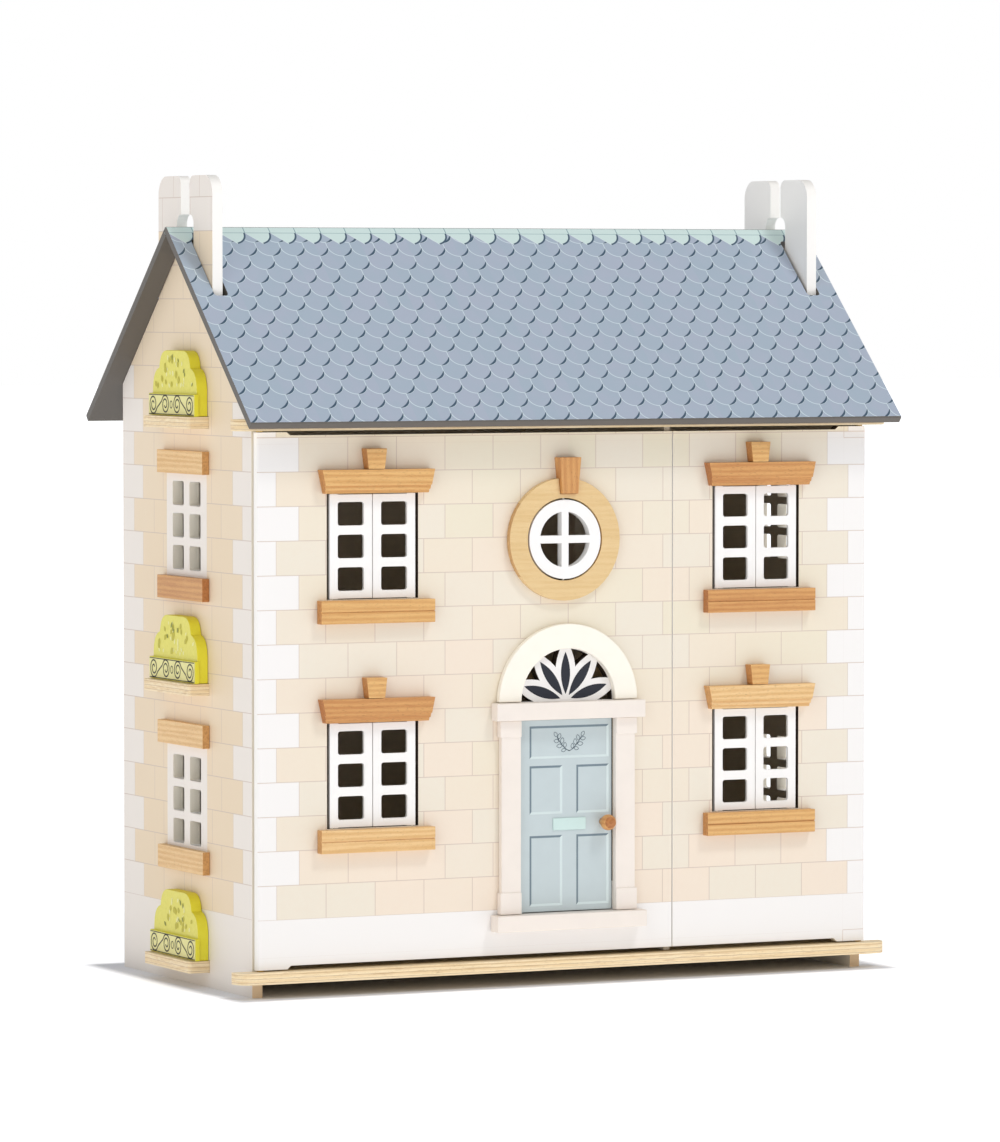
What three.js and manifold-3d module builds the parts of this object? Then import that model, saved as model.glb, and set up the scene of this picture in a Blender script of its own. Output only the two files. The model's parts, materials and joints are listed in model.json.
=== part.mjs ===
// A wooden dollhouse with a hinged roof, two hinged front panels, opening windows and an opening door.
// Millimetres, +Z up. X runs along the ridge, -Y is the front, and Z is 0 where the side walls stand.
import * as THREE from 'three';
import { mergeVertices } from 'three/addons/utils/BufferGeometryUtils.js';
import Module from 'manifold-3d';

const wasm = await Module();
wasm.setup();

// ---- driving dimensions ----
const GAP = 0.3; // between pieces that touch
const ROUND = 3; // curve segments for small round corners

// body
const BODY_W = 563; // over the outer faces of the side walls
const BODY_D = 272; // front edge to back edge of a side wall
const WALL_T = 9; // side wall thickness
const BACK_T = 6; // back wall and partition thickness
const BOARD_T = 9.6; // base, first floor and attic boards
const BASE_Z = 12.4; // underside of each board
const FIRST_Z = 241.4;
const ATTIC_Z = 461.2;
const LIP_D = 18; // how far the base and attic boards stand out in front
const LIP_HALF = 300; // half the length of that front lip
const LIP_R = 14; // its rounded corners
const TAB_Y = 48.3; // half the length of the balcony tabs through the side walls
const TAB_OUT = 18.5; // how far they stand out
const TAB_R = 3;

// roof
const PITCH = THREE.MathUtils.degToRad(42.3);
const APEX_Z = 628.3; // where the two roof surfaces would meet
const ROOF_T = 6.3;
const ROOF_HALF_W = 299;
const ROOF_RUN = 176; // ridge to eave, level
const SLOT_W = 12.3; // chimney slot in each roof panel
const SLOT_SHIFT = 1.05; // towards the middle, so that the slot's outer edge runs close to the wall
const SLOT_FROM = 17; // down the slope from the apex
const SLOT_TO = 86;
const SLOT_R = 3;

// chimneys, part of each side wall
const CHIMNEY_Z = 669.5;
const CHIMNEY_Y = 57;
const CHIMNEY_R = 16;
const POT_GAP = 9.1; // half the slot between the two pots
const POT_R = 7.5;
const KEYHOLE_TOP = 637.5; // the hole that the ridge turns in
const KEYHOLE_BOTTOM = 600;
const KEYHOLE_HALF = 17.5;
const KEYHOLE_CORNER = 8;

// hinged front panels
const PANEL_T = 9;
const PANEL_BACK = -BODY_D / 2 - 1; // back face of the panels
const PANEL_FRONT = PANEL_BACK - PANEL_T;
const PANEL_BOTTOM = 26.2;
const PANEL_TOP = 457.4;
const LUG_BOTTOM = 23.3; // the hinge corners reach further down and up
const LUG_TOP = 460;
const LUG_W = 27;
const SPLIT_X = 97.1; // where the two panels meet
const PIVOT_IN = 5; // hinge pin to the panel's outer edge
const PIN_R = 1.5;
const PIN_CLEAR = 0.3;

// front windows
const WINDOW_X = 177;
const WINDOW_SHIFT = -1.2; // the openings sit a little off their trims
const WINDOW_W = 82;
const WINDOW_H = 86.3;
const WINDOW_ROWS = [136.4, 323.3]; // bottom of the openings on the left panel
const RIGHT_LIFT = 1.7; // the right panel's windows sit this much higher
const CASEMENT_W = 38.9;
const CASEMENT_GAP = 0.8; // between the two casements of a window
const CASEMENT_H = 84.8;
const CASEMENT_T = 3;
const PANE_W = 24;
const PANE_H = 19.2;
const PANE_PITCH = 26.6;
const PANE_R = 2.2;
const STUB_R = 1; // pivot stubs of the casements
const STUB_IN = 3.2; // stub to the casement's outer edge
const LINTEL_TOP_W = 101;
const LINTEL_BOTTOM_W = 92.5;
const LINTEL_H = 19.4;
const LINTEL_STEPS = [2.8, 6.4]; // heights of the two steps under its face
const LINTEL_STEP_IN = 1.6; // and how far each stands back
const TRIM_OUT = 10.2; // how far lintels and keystones stand out
const SILL_W = 102;
const SILL_H = 19;
const SILL_OUT = 9;
const KEYSTONE_H = 16.6;
const KEYSTONE_W = [18.4, 14.6]; // at the top and at the bottom
const KEYSTONE_SHIFT = -2; // keystones sit a little left of the middle

// side windows, cut straight through the side walls
const SIDE_Y = -1.5;
const SIDE_ROWS = [109, 337]; // bottom of the painted window area
const SIDE_AREA_H = 85.6;
const SIDE_LIFT = [3, 0.6]; // the trims of each row sit this much higher
const SIDE_PANE_W = 23.4;
const SIDE_PANE_H = 20.3;
const SIDE_BAR_Y = 12.1;
const SIDE_BAR_Z = 6.4;
const SIDE_TRIM_W = 96;
const SIDE_TRIM_OUT = 6.5;
const SIDE_TRIM_H = 19;

// arched doorways in the partitions
const DOORWAY_HALF = 31;
const DOORWAY_SPRING = 125; // floor to where the arch begins

// entrance
const DOOR_X = -2.5;
const DOOR_W = 87.4;
const DOOR_BOTTOM = 59.6;
const DOOR_TOP = 220.4;
const LEAF_T = 6;
const PILASTER_W = 19.4;
const PILASTER_OUT = 7;
const PILASTER_BASE = 18; // height of its foot block
const PILASTER_CAP = 13.4;
const SHAFT_IN = [1.4, 1.2]; // how much narrower and thinner its shaft is
const SHELF_W = 137;
const SHELF_H = 14.6;
const SHELF_OUT = 12;
const STEP_W = 138;
const STEP_H = 13.6;
const STEP_OUT = 14;
const ARCH_R = 63.8;
const FANLIGHT_R = 43.2;
const ARCH_OUT = 6;
const PETAL_ANGLES = [18, 54, 90, 126, 162]; // degrees round the fanlight
const PETAL_REACH = [-4, 52]; // each petal is a lens from just below the middle to past the rim
const PETAL_BULGE = 18.6;
const DOOR_STUB_IN = 5; // the door's pivot to its left edge
const KNOB_IN = 34.5; // the knob, right of the door's middle
const KNOB_Z = 133.5;
const KNOB_PROFILE = [
  [0, 0], [3.4, 0], [3.1, 3], [3.4, 4.6], [5.4, 6.4],
  [6.6, 9], [6.5, 11.4], [5, 13.8], [2.6, 15], [0, 15.3],
];

// round window
const ROUND_X = -6;
const ROUND_Z = 369.2;
const RING_R = 50.8;
const RING_HOLE_R = 34.2;
const RING_OUT = 6;
const DISC_R = 32.8;
const DISC_T = 7.6;
const DISC_HOLE_R = 23;
const DISC_BAR = 6.3;
const ROUND_KEY_SHIFT = 3; // its keystone sits a little right of the middle
const ROUND_KEY_Z = 407; // and begins here
const ROUND_KEY_H = 30;
const ROUND_KEY_W = [19.8, 14.4]; // at the top and at the bottom

// hedge blocks on the tabs
const HEDGE_Y = 46.6; // half its length
const HEDGE_H = 54;
const HEDGE_T = 9.6;
const HEDGE_SHOULDER = 22; // height where its sides begin to curve in
const HEDGE_NOTCH = [33, 39.6]; // from the middle, and up from the foot
const HEDGE_CROWN = 18.5; // half the flat top
const RAILING_Y = 48.7; // the railing strip glued on its foot
const RAILING_H = 18.2;
const RAILING_T = 2.9;

// ---- derived places ----
const WALL_X = BODY_W / 2;
const FRONT_Y = -BODY_D / 2;
const SLOPE = Math.tan(PITCH);
const DOWN = [-Math.cos(PITCH), -Math.sin(PITCH)]; // down the front slope, as (y, z)
const OUT = [-Math.sin(PITCH), Math.cos(PITCH)]; // out of the front slope
const PIVOT_X = WALL_X - PIVOT_IN;
const PIVOT_Y = PANEL_BACK - PANEL_T / 2;
const RIDGE_Z = APEX_Z - ROOF_T / 2 / Math.cos(PITCH); // axis of the roof hinge
const underRoof = (y) => APEX_Z - Math.abs(y) * SLOPE - ROOF_T / Math.cos(PITCH) - 0.4;

// ---- materials ----
const paint = (color, roughness = 0.55, metalness = 0) =>
  new THREE.MeshStandardMaterial({ color, roughness, metalness });
const STONE = paint('#f1e6d4');
const ROOF = paint('#aab6c6', 0.5);
const PLY = paint('#e8cf9f', 0.6);
const BEECH = paint('#dca766', 0.5);
const MAPLE = paint('#ecd09a', 0.5);
const WHITE = paint('#f6f4f0', 0.4);
const CREAM = paint('#f4e9df', 0.5);
const DOOR = paint('#bccfd0', 0.45);
const HEDGE = paint('#d9dc58', 0.5);
const INSIDE = paint('#efe9dd', 0.6);
const BRASS = paint('#c9a24e', 0.35, 0.9);

// ---- solids ----
function solid(geometry) {
  const bare = geometry.index ? geometry.toNonIndexed() : geometry.clone();
  bare.deleteAttribute('normal');
  bare.deleteAttribute('uv');
  const merged = mergeVertices(bare, 1e-4);
  return new wasm.Manifold(new wasm.Mesh({
    numProp: 3,
    vertProperties: new Float32Array(merged.attributes.position.array),
    triVerts: new Uint32Array(merged.index.array),
  }));
}

const extrude = (shape, depth, curveSegments = ROUND) =>
  new THREE.ExtrudeGeometry(shape, { depth, bevelEnabled: false, curveSegments });

// a shape drawn in (x, z), standing with its front face at y = front
function frontPlate(shape, front, thickness, segments = ROUND) {
  const plate = extrude(shape, thickness, segments).rotateX(Math.PI / 2);
  return solid(plate.translate(0, front + thickness, 0));
}

// a shape drawn in (y, z), standing with its left face at x = left
const ACROSS = new THREE.Matrix4().makeBasis(
  new THREE.Vector3(0, 1, 0), new THREE.Vector3(0, 0, 1), new THREE.Vector3(1, 0, 0));
function sidePlate(shape, left, thickness, segments = ROUND) {
  return solid(extrude(shape, thickness, segments).applyMatrix4(ACROSS).translate(left, 0, 0));
}

// a shape drawn in (x, y), lying with its lower face at z = bottom
const floorPlate = (shape, bottom, thickness) =>
  solid(extrude(shape, thickness).translate(0, 0, bottom));

function box(x0, x1, y0, y1, z0, z1) {
  const block = new THREE.BoxGeometry(x1 - x0, y1 - y0, z1 - z0);
  return solid(block.translate((x0 + x1) / 2, (y0 + y1) / 2, (z0 + z1) / 2));
}

function upright(radius, x, y, z0, z1, sides = 16) {
  const cylinder = new THREE.CylinderGeometry(radius, radius, z1 - z0, sides);
  return solid(cylinder.rotateX(Math.PI / 2).translate(x, y, (z0 + z1) / 2));
}

function polygon(points) {
  return new THREE.Shape(points.map(([u, v]) => new THREE.Vector2(u, v)));
}

function roundedRect(u0, u1, v0, v1, r, Kind = THREE.Shape) {
  const path = new Kind();
  path.moveTo(u0 + r, v0);
  path.lineTo(u1 - r, v0);
  path.absarc(u1 - r, v0 + r, r, -Math.PI / 2, 0, false);
  path.lineTo(u1, v1 - r);
  path.absarc(u1 - r, v1 - r, r, 0, Math.PI / 2, false);
  path.lineTo(u0 + r, v1);
  path.absarc(u0 + r, v1 - r, r, Math.PI / 2, Math.PI, false);
  path.lineTo(u0, v0 + r);
  path.absarc(u0 + r, v0 + r, r, Math.PI, Math.PI * 1.5, false);
  return path;
}

const rectangle = (u0, u1, v0, v1) => polygon([[u0, v0], [u1, v0], [u1, v1], [u0, v1]]);

const cutAll = (body, cutters) => cutters.reduce((rest, cutter) => rest.subtract(cutter), body);

// ---- the scene graph ----
const group = new THREE.Group();

function add(name, body, material) {
  const { vertProperties, triVerts } = body.getMesh();
  const geometry = new THREE.BufferGeometry();
  geometry.setAttribute('position', new THREE.BufferAttribute(new Float32Array(vertProperties), 3));
  geometry.setIndex(new THREE.BufferAttribute(new Uint32Array(triVerts), 1));
  geometry.computeVertexNormals();
  const mesh = new THREE.Mesh(geometry, material);
  mesh.name = name;
  group.add(mesh);
}

// ---- floors ----
function tab(sign, z) {
  const inner = WALL_X - WALL_T - 20;
  const outer = WALL_X + TAB_OUT;
  const [x0, x1] = sign < 0 ? [-outer, -inner] : [inner, outer];
  return floorPlate(roundedRect(x0, x1, -TAB_Y, TAB_Y, TAB_R), z, BOARD_T);
}

function lip(z) {
  const front = FRONT_Y - LIP_D;
  const back = FRONT_Y - GAP;
  const shape = new THREE.Shape();
  shape.moveTo(-LIP_HALF, back);
  shape.lineTo(-LIP_HALF, front + LIP_R);
  shape.absarc(-LIP_HALF + LIP_R, front + LIP_R, LIP_R, Math.PI, Math.PI * 1.5, false);
  shape.lineTo(LIP_HALF - LIP_R, front);
  shape.absarc(LIP_HALF - LIP_R, front + LIP_R, LIP_R, Math.PI * 1.5, Math.PI * 2, false);
  shape.lineTo(LIP_HALF, back);
  return floorPlate(shape, z, BOARD_T);
}

function board(z, hasLip, backY) {
  const inner = WALL_X - WALL_T - GAP;
  const frontY = hasLip ? FRONT_Y - LIP_D / 2 : FRONT_Y;
  let body = floorPlate(rectangle(-inner, inner, frontY, backY), z, BOARD_T);
  body = body.add(tab(-1, z)).add(tab(1, z));
  if (!hasLip) return body;
  const pinHoles = [-PIVOT_X, PIVOT_X].map((x) =>
    upright(PIN_R + PIN_CLEAR, x, PIVOT_Y, z - 1, z + BOARD_T + 1));
  return cutAll(body.add(lip(z)), pinHoles);
}

const REAR_Y = BODY_D / 2;
add('base_board', board(BASE_Z, true, REAR_Y), PLY);
add('first_floor', board(FIRST_Z, false, REAR_Y - BACK_T - GAP), PLY);
add('attic_floor', board(ATTIC_Z, true, REAR_Y - BACK_T - GAP), PLY);

// ---- side walls with chimneys ----
function wallOutline() {
  const shape = new THREE.Shape();
  const shoulder = underRoof(CHIMNEY_Y);
  const inner = KEYHOLE_HALF - KEYHOLE_CORNER;
  const corner = (y, z, from) => {
    shape.absarc(y, z, KEYHOLE_CORNER, from * Math.PI / 2, (from - 1) * Math.PI / 2, true);
  };
  shape.moveTo(FRONT_Y, 0);
  shape.lineTo(REAR_Y, 0);
  shape.lineTo(REAR_Y, underRoof(REAR_Y));
  shape.lineTo(CHIMNEY_Y, shoulder);
  shape.lineTo(CHIMNEY_Y, CHIMNEY_Z - CHIMNEY_R);
  shape.absarc(CHIMNEY_Y - CHIMNEY_R, CHIMNEY_Z - CHIMNEY_R, CHIMNEY_R, 0, Math.PI / 2, false);
  shape.lineTo(POT_GAP + POT_R, CHIMNEY_Z);
  shape.absarc(POT_GAP + POT_R, CHIMNEY_Z - POT_R, POT_R, Math.PI / 2, Math.PI, false);
  shape.lineTo(POT_GAP, KEYHOLE_TOP);
  corner(inner, KEYHOLE_TOP - KEYHOLE_CORNER, 1);
  corner(inner, KEYHOLE_BOTTOM + KEYHOLE_CORNER, 0);
  corner(-inner, KEYHOLE_BOTTOM + KEYHOLE_CORNER, -1);
  corner(-inner, KEYHOLE_TOP - KEYHOLE_CORNER, -2);
  shape.lineTo(-POT_GAP, KEYHOLE_TOP);
  shape.lineTo(-POT_GAP, CHIMNEY_Z - POT_R);
  shape.absarc(-POT_GAP - POT_R, CHIMNEY_Z - POT_R, POT_R, 0, Math.PI / 2, false);
  shape.lineTo(-CHIMNEY_Y + CHIMNEY_R, CHIMNEY_Z);
  shape.absarc(-CHIMNEY_Y + CHIMNEY_R, CHIMNEY_Z - CHIMNEY_R, CHIMNEY_R, Math.PI / 2, Math.PI, false);
  shape.lineTo(-CHIMNEY_Y, shoulder);
  shape.lineTo(FRONT_Y, underRoof(FRONT_Y));
  return shape;
}

function sidePanes(bottom, middle) {
  const panes = [];
  const height = 3 * SIDE_PANE_H + 2 * SIDE_BAR_Z;
  const start = bottom + (SIDE_AREA_H - height) / 2;
  for (const side of [-1, 1]) {
    for (let row = 0; row < 3; row += 1) {
      const y = middle + side * (SIDE_BAR_Y + SIDE_PANE_W) / 2;
      const z = start + row * (SIDE_PANE_H + SIDE_BAR_Z);
      const outline = roundedRect(y - SIDE_PANE_W / 2, y + SIDE_PANE_W / 2, z, z + SIDE_PANE_H, PANE_R);
      panes.push(new THREE.Path(outline.getPoints(2)));
    }
  }
  return panes;
}

function sideWall(side) {
  const shape = wallOutline();
  for (const bottom of SIDE_ROWS) shape.holes.push(...sidePanes(bottom, -side * SIDE_Y));
  for (const z of [BASE_Z, FIRST_Z, ATTIC_Z]) {
    const slot = rectangle(-TAB_Y - GAP, TAB_Y + GAP, z - GAP, z + BOARD_T + GAP);
    shape.holes.push(new THREE.Path(slot.getPoints()));
  }
  return sidePlate(shape, side < 0 ? -WALL_X : WALL_X - WALL_T, WALL_T, 8);
}

add('left_wall', sideWall(-1), STONE);
add('right_wall', sideWall(1), STONE);

// ---- back wall and partitions ----
const INNER_X = WALL_X - WALL_T - GAP;
const BACK_Y = REAR_Y - BACK_T;
const BOARD_TOP = BOARD_T + GAP;
const BACK_TOP = underRoof(REAR_Y) - 1;
add('back_wall', box(-INNER_X, INNER_X, BACK_Y, REAR_Y, BASE_Z + BOARD_TOP, BACK_TOP), STONE);

function partition(z0, z1) {
  const doorway = new THREE.Path();
  const spring = z0 + DOORWAY_SPRING;
  const below = z0 - 1;
  doorway.moveTo(-DOORWAY_HALF, below);
  doorway.lineTo(DOORWAY_HALF, below);
  doorway.lineTo(DOORWAY_HALF, spring);
  doorway.absarc(0, spring, DOORWAY_HALF, 0, Math.PI, false);
  const opening = sidePlate(new THREE.Shape(doorway.getPoints(ROUND)), SPLIT_X - BACK_T, BACK_T * 2);
  const wall = box(SPLIT_X - BACK_T / 2, SPLIT_X + BACK_T / 2, FRONT_Y, BACK_Y - GAP, z0, z1);
  return wall.subtract(opening);
}

add('lower_partition', partition(BASE_Z + BOARD_TOP, FIRST_Z - GAP), INSIDE);
add('upper_partition', partition(FIRST_Z + BOARD_TOP, ATTIC_Z - GAP), INSIDE);

// ---- roof ----
const along = (s, n) => [DOWN[0] * s + OUT[0] * n, RIDGE_Z + DOWN[1] * s + OUT[1] * n];

function roofPanel(hasNose) {
  const half = ROOF_T / 2;
  const foot = half * SLOPE; // the apex to the point of the surface nearest the hinge axis
  const end = ROOF_RUN / Math.cos(PITCH) - foot;
  const radius = hasNose ? half : half + 0.45; // the rear panel is hollowed round the front panel's nose
  const start = Math.sqrt(radius ** 2 - half ** 2);
  const meet = GAP / 2; // below the hinge the panels stop either side of the middle plane
  const shape = new THREE.Shape();
  shape.moveTo(...along(start, half));
  shape.lineTo(...along(end - 1, half));
  shape.lineTo(...along(end, half - 1));
  shape.lineTo(...along(end, -half));
  shape.lineTo(...along((half * Math.sin(PITCH) + meet) / Math.cos(PITCH), -half));
  const top = Math.PI / 2 + PITCH + Math.atan2(start, half);
  const bottom = -Math.PI / 2 - Math.asin(meet / radius);
  if (hasNose) shape.absarc(0, RIDGE_Z, radius, bottom, top, false);
  else shape.absarc(0, RIDGE_Z, radius, bottom + Math.PI * 2, top, true);
  const panel = sidePlate(shape, -ROOF_HALF_W, ROOF_HALF_W * 2);
  const slots = [-1, 1].map((side) => {
    const x = side * (WALL_X - WALL_T / 2 - SLOT_SHIFT);
    const [x0, x1] = [x - SLOT_W / 2, x + SLOT_W / 2];
    const outline = roundedRect(x0, x1, SLOT_FROM - foot, SLOT_TO - foot, SLOT_R);
    const inward = new THREE.Vector3(0, -OUT[0], -OUT[1]);
    const onSlope = new THREE.Matrix4().makeBasis(
      new THREE.Vector3(1, 0, 0), new THREE.Vector3(0, ...DOWN), inward);
    onSlope.setPosition(0, OUT[0] * ROOF_T, RIDGE_Z + OUT[1] * ROOF_T);
    return solid(extrude(outline, ROOF_T * 2, 3).applyMatrix4(onSlope));
  });
  return cutAll(panel, slots);
}

add('front_roof', roofPanel(true), ROOF);
add('rear_roof', roofPanel(false).rotate([0, 0, 180]), ROOF);

// ---- trims on the side walls ----
function sideTrim(side, z0) {
  const inner = WALL_X + GAP;
  const outer = WALL_X + SIDE_TRIM_OUT;
  const [x0, x1] = side < 0 ? [-outer, -inner] : [inner, outer];
  const y = -side * SIDE_Y;
  return box(x0, x1, y - SIDE_TRIM_W / 2, y + SIDE_TRIM_W / 2, z0, z0 + SIDE_TRIM_H);
}

for (const [side, label] of [[-1, 'left'], [1, 'right']]) {
  for (const [row, bottom] of SIDE_ROWS.entries()) {
    const level = row === 0 ? 'lower' : 'upper';
    const z = bottom + SIDE_LIFT[row];
    add(`${label}_${level}_side_lintel`, sideTrim(side, z + SIDE_AREA_H), BEECH);
    add(`${label}_${level}_side_sill`, sideTrim(side, z - SIDE_TRIM_H), BEECH);
  }
}

// ---- hedge blocks standing on the tabs ----
function hedge(side, z) {
  const shoulder = z + HEDGE_SHOULDER;
  const notch = [HEDGE_NOTCH[0], z + HEDGE_NOTCH[1]];
  const top = z + HEDGE_H;
  const shape = new THREE.Shape();
  shape.moveTo(-HEDGE_Y, z);
  shape.lineTo(HEDGE_Y, z);
  shape.lineTo(HEDGE_Y, shoulder);
  shape.quadraticCurveTo(HEDGE_Y - 1, notch[1] - 2, ...notch);
  shape.quadraticCurveTo(notch[0] - 2.2, top - 0.5, HEDGE_CROWN, top);
  shape.lineTo(-HEDGE_CROWN, top);
  shape.quadraticCurveTo(-notch[0] + 2.2, top - 0.5, -notch[0], notch[1]);
  shape.quadraticCurveTo(-HEDGE_Y + 1, notch[1] - 2, -HEDGE_Y, shoulder);
  const inner = WALL_X + GAP;
  const block = solid(extrude(shape, HEDGE_T, 5).applyMatrix4(ACROSS).translate(inner, 0, 0));
  const face = inner + HEDGE_T;
  const strip = box(face - 1, face + RAILING_T, -RAILING_Y, RAILING_Y, z, z + RAILING_H);
  const whole = block.add(strip);
  return side < 0 ? whole.rotate([0, 0, 180]) : whole;
}

for (const [side, label] of [[-1, 'left'], [1, 'right']]) {
  for (const [level, z] of [['ground', BASE_Z], ['first', FIRST_Z], ['attic', ATTIC_Z]]) {
    add(`${label}_${level}_hedge`, hedge(side, z + BOARD_TOP), HEDGE);
  }
}

// ---- hinge pins of the front panels ----
function hingePin(x, z0, z1, collarZ) {
  const collar = upright(3.3, x, PIVOT_Y, collarZ, collarZ + 0.8);
  return upright(PIN_R, x, PIVOT_Y, z0, z1).add(collar);
}

for (const [side, label] of [[-1, 'left'], [1, 'right']]) {
  const x = side * PIVOT_X;
  const boardTop = BASE_Z + BOARD_T;
  add(`${label}_bottom_pin`, hingePin(x, BASE_Z + 1, LUG_BOTTOM + 11, boardTop + 0.25), BRASS);
  add(`${label}_top_pin`, hingePin(x, LUG_TOP - 11, ATTIC_Z + BOARD_T - 1, LUG_TOP + 0.2), BRASS);
}

// ---- front panels ----
// plan of a panel: its heel is rounded so that it turns clear of the side wall
function panelPlan(side) {
  const shape = new THREE.Shape();
  const outer = side * WALL_X;
  const inner = SPLIT_X + side * 0.5;
  const heelBack = 4.4;
  const heelFront = 3;
  shape.moveTo(inner, PANEL_FRONT);
  shape.lineTo(inner, PANEL_BACK);
  shape.lineTo(outer - side * heelBack, PANEL_BACK);
  const clockwise = side > 0;
  const outward = side > 0 ? 0 : Math.PI;
  const heelX = outer - side * heelBack;
  shape.absarc(heelX, PANEL_BACK - heelBack, heelBack, Math.PI / 2, outward, clockwise);
  shape.lineTo(outer, PANEL_FRONT + heelFront);
  shape.absarc(outer - side * heelFront, PANEL_FRONT + heelFront, heelFront, outward,
    side > 0 ? -Math.PI / 2 : Math.PI * 1.5, clockwise);
  return shape;
}

// front view of a panel: lugs at the hinge corners, with a chamfer up to the straight edges
function panelFace(side) {
  const outer = side * WALL_X;
  const inner = SPLIT_X + side * 0.5;
  const lug = outer - side * LUG_W;
  const chamfer = lug - side * 3;
  return polygon([
    [inner, PANEL_BOTTOM], [chamfer, PANEL_BOTTOM], [lug, LUG_BOTTOM], [outer, LUG_BOTTOM],
    [outer, LUG_TOP], [lug, LUG_TOP], [chamfer, PANEL_TOP], [inner, PANEL_TOP],
  ]);
}

const windowBottom = (side, row) => WINDOW_ROWS[row] + (side > 0 ? RIGHT_LIFT : 0);
const windowCentre = (side) => side * WINDOW_X + WINDOW_SHIFT;
const STUB_Y = PANEL_FRONT + CASEMENT_T / 2;
const JAMB = (WINDOW_W - 2 * CASEMENT_W - CASEMENT_GAP) / 2;
const stubX = (centre, hand) => centre + hand * (WINDOW_W / 2 - JAMB - STUB_IN);

function windowCut(centre, bottom) {
  const through = [PANEL_FRONT - 1, PANEL_BACK + 1];
  const half = WINDOW_W / 2;
  const opening = box(centre - half, centre + half, ...through, bottom, bottom + WINDOW_H);
  const holes = [-1, 1].map((hand) =>
    upright(STUB_R + 0.25, stubX(centre, hand), STUB_Y, bottom - 3, bottom + WINDOW_H + 3, 10));
  return holes.reduce((all, hole) => all.add(hole), opening);
}

function panelBody(side) {
  const face = panelFace(side).getPoints();
  const front = frontPlate(new THREE.Shape(face), PANEL_FRONT - 1, PANEL_T + 2);
  const body = floorPlate(panelPlan(side), LUG_BOTTOM - 1, LUG_TOP - LUG_BOTTOM + 2).intersect(front);
  const bores = [[LUG_BOTTOM - 1, LUG_BOTTOM + 12], [LUG_TOP - 12, LUG_TOP + 1]].map(
    ([z0, z1]) => upright(PIN_R + PIN_CLEAR, side * PIVOT_X, PIVOT_Y, z0, z1));
  const windows = WINDOW_ROWS.map((z, row) => windowCut(windowCentre(side), windowBottom(side, row)));
  return cutAll(body, [...bores, ...windows]);
}

// ---- fanlight: five pointed petals left standing between the cuts ----
const FAN_Z = DOOR_TOP + SHELF_H + 0.2;

function petalShape(angle) {
  const [start, end] = PETAL_REACH;
  const across = angle + Math.PI / 2;
  const point = (s, w) => [
    DOOR_X + Math.cos(angle) * s + Math.cos(across) * w,
    FAN_Z + Math.sin(angle) * s + Math.sin(across) * w,
  ];
  const shape = new THREE.Shape();
  shape.moveTo(...point(start, 0));
  shape.quadraticCurveTo(...point((start + end) / 2, -PETAL_BULGE), ...point(end, 0));
  shape.quadraticCurveTo(...point((start + end) / 2, PETAL_BULGE), ...point(start, 0));
  return shape;
}

function fanlightCut() {
  const half = new THREE.Shape();
  half.moveTo(DOOR_X - FANLIGHT_R, FAN_Z);
  half.lineTo(DOOR_X + FANLIGHT_R, FAN_Z);
  half.absarc(DOOR_X, FAN_Z, FANLIGHT_R, 0, Math.PI, false);
  const opening = frontPlate(half, PANEL_FRONT - 1, PANEL_T + 2, 20);
  const petals = PETAL_ANGLES.map((degrees) =>
    frontPlate(petalShape(THREE.MathUtils.degToRad(degrees)), PANEL_FRONT - 2, PANEL_T + 4, 10));
  return cutAll(opening, petals);
}

const DOOR_STUB_X = DOOR_X - DOOR_W / 2 + DOOR_STUB_IN;
const DOOR_STUB_Y = PANEL_FRONT + LEAF_T / 2;

function doorCut() {
  const [x0, x1] = [DOOR_X - DOOR_W / 2, DOOR_X + DOOR_W / 2];
  const opening = box(x0, x1, PANEL_FRONT - 1, PANEL_BACK + 1, DOOR_BOTTOM, DOOR_TOP);
  return opening.add(upright(1.3, DOOR_STUB_X, DOOR_STUB_Y, DOOR_BOTTOM - 3.5, DOOR_TOP + 3.5, 12));
}

function disc(radius, y0, y1, sides = 48) {
  const flat = new THREE.CylinderGeometry(radius, radius, y1 - y0, sides);
  return solid(flat.translate(ROUND_X, (y0 + y1) / 2, ROUND_Z));
}

const roundCut = disc(RING_HOLE_R, PANEL_FRONT - 1, PANEL_BACK + 1);
add('left_panel', cutAll(panelBody(-1), [doorCut(), fanlightCut(), roundCut]), STONE);
add('right_panel', panelBody(1), STONE);

// ---- window trims on the panels ----
const WALL_FACE = PANEL_FRONT - GAP; // back face of everything glued to a panel

function lintel(centre, bottom) {
  const top = bottom + LINTEL_H;
  const slant = (LINTEL_TOP_W - LINTEL_BOTTOM_W) / 2;
  const halfAt = (z) => LINTEL_TOP_W / 2 - slant * (top - z) / LINTEL_H;
  const band = (z0, z1, out) => frontPlate(polygon([
    [centre - halfAt(z0), z0], [centre + halfAt(z0), z0],
    [centre + halfAt(z1), z1], [centre - halfAt(z1), z1]]), WALL_FACE - out, out);
  const [low, high] = LINTEL_STEPS.map((height) => bottom + height);
  const overlap = 0.6; // each step runs up behind the next
  const fascia = band(high, top, TRIM_OUT);
  const middle = band(low, high + overlap, TRIM_OUT - LINTEL_STEP_IN);
  const foot = band(bottom, low + overlap, TRIM_OUT - 2 * LINTEL_STEP_IN);
  return fascia.add(middle).add(foot);
}

function keystone(centre, bottom, height, topW, bottomW, out, back = WALL_FACE) {
  const shape = polygon([
    [centre - bottomW / 2, bottom], [centre + bottomW / 2, bottom],
    [centre + topW / 2, bottom + height], [centre - topW / 2, bottom + height]]);
  return frontPlate(shape, back - out, out);
}

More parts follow.
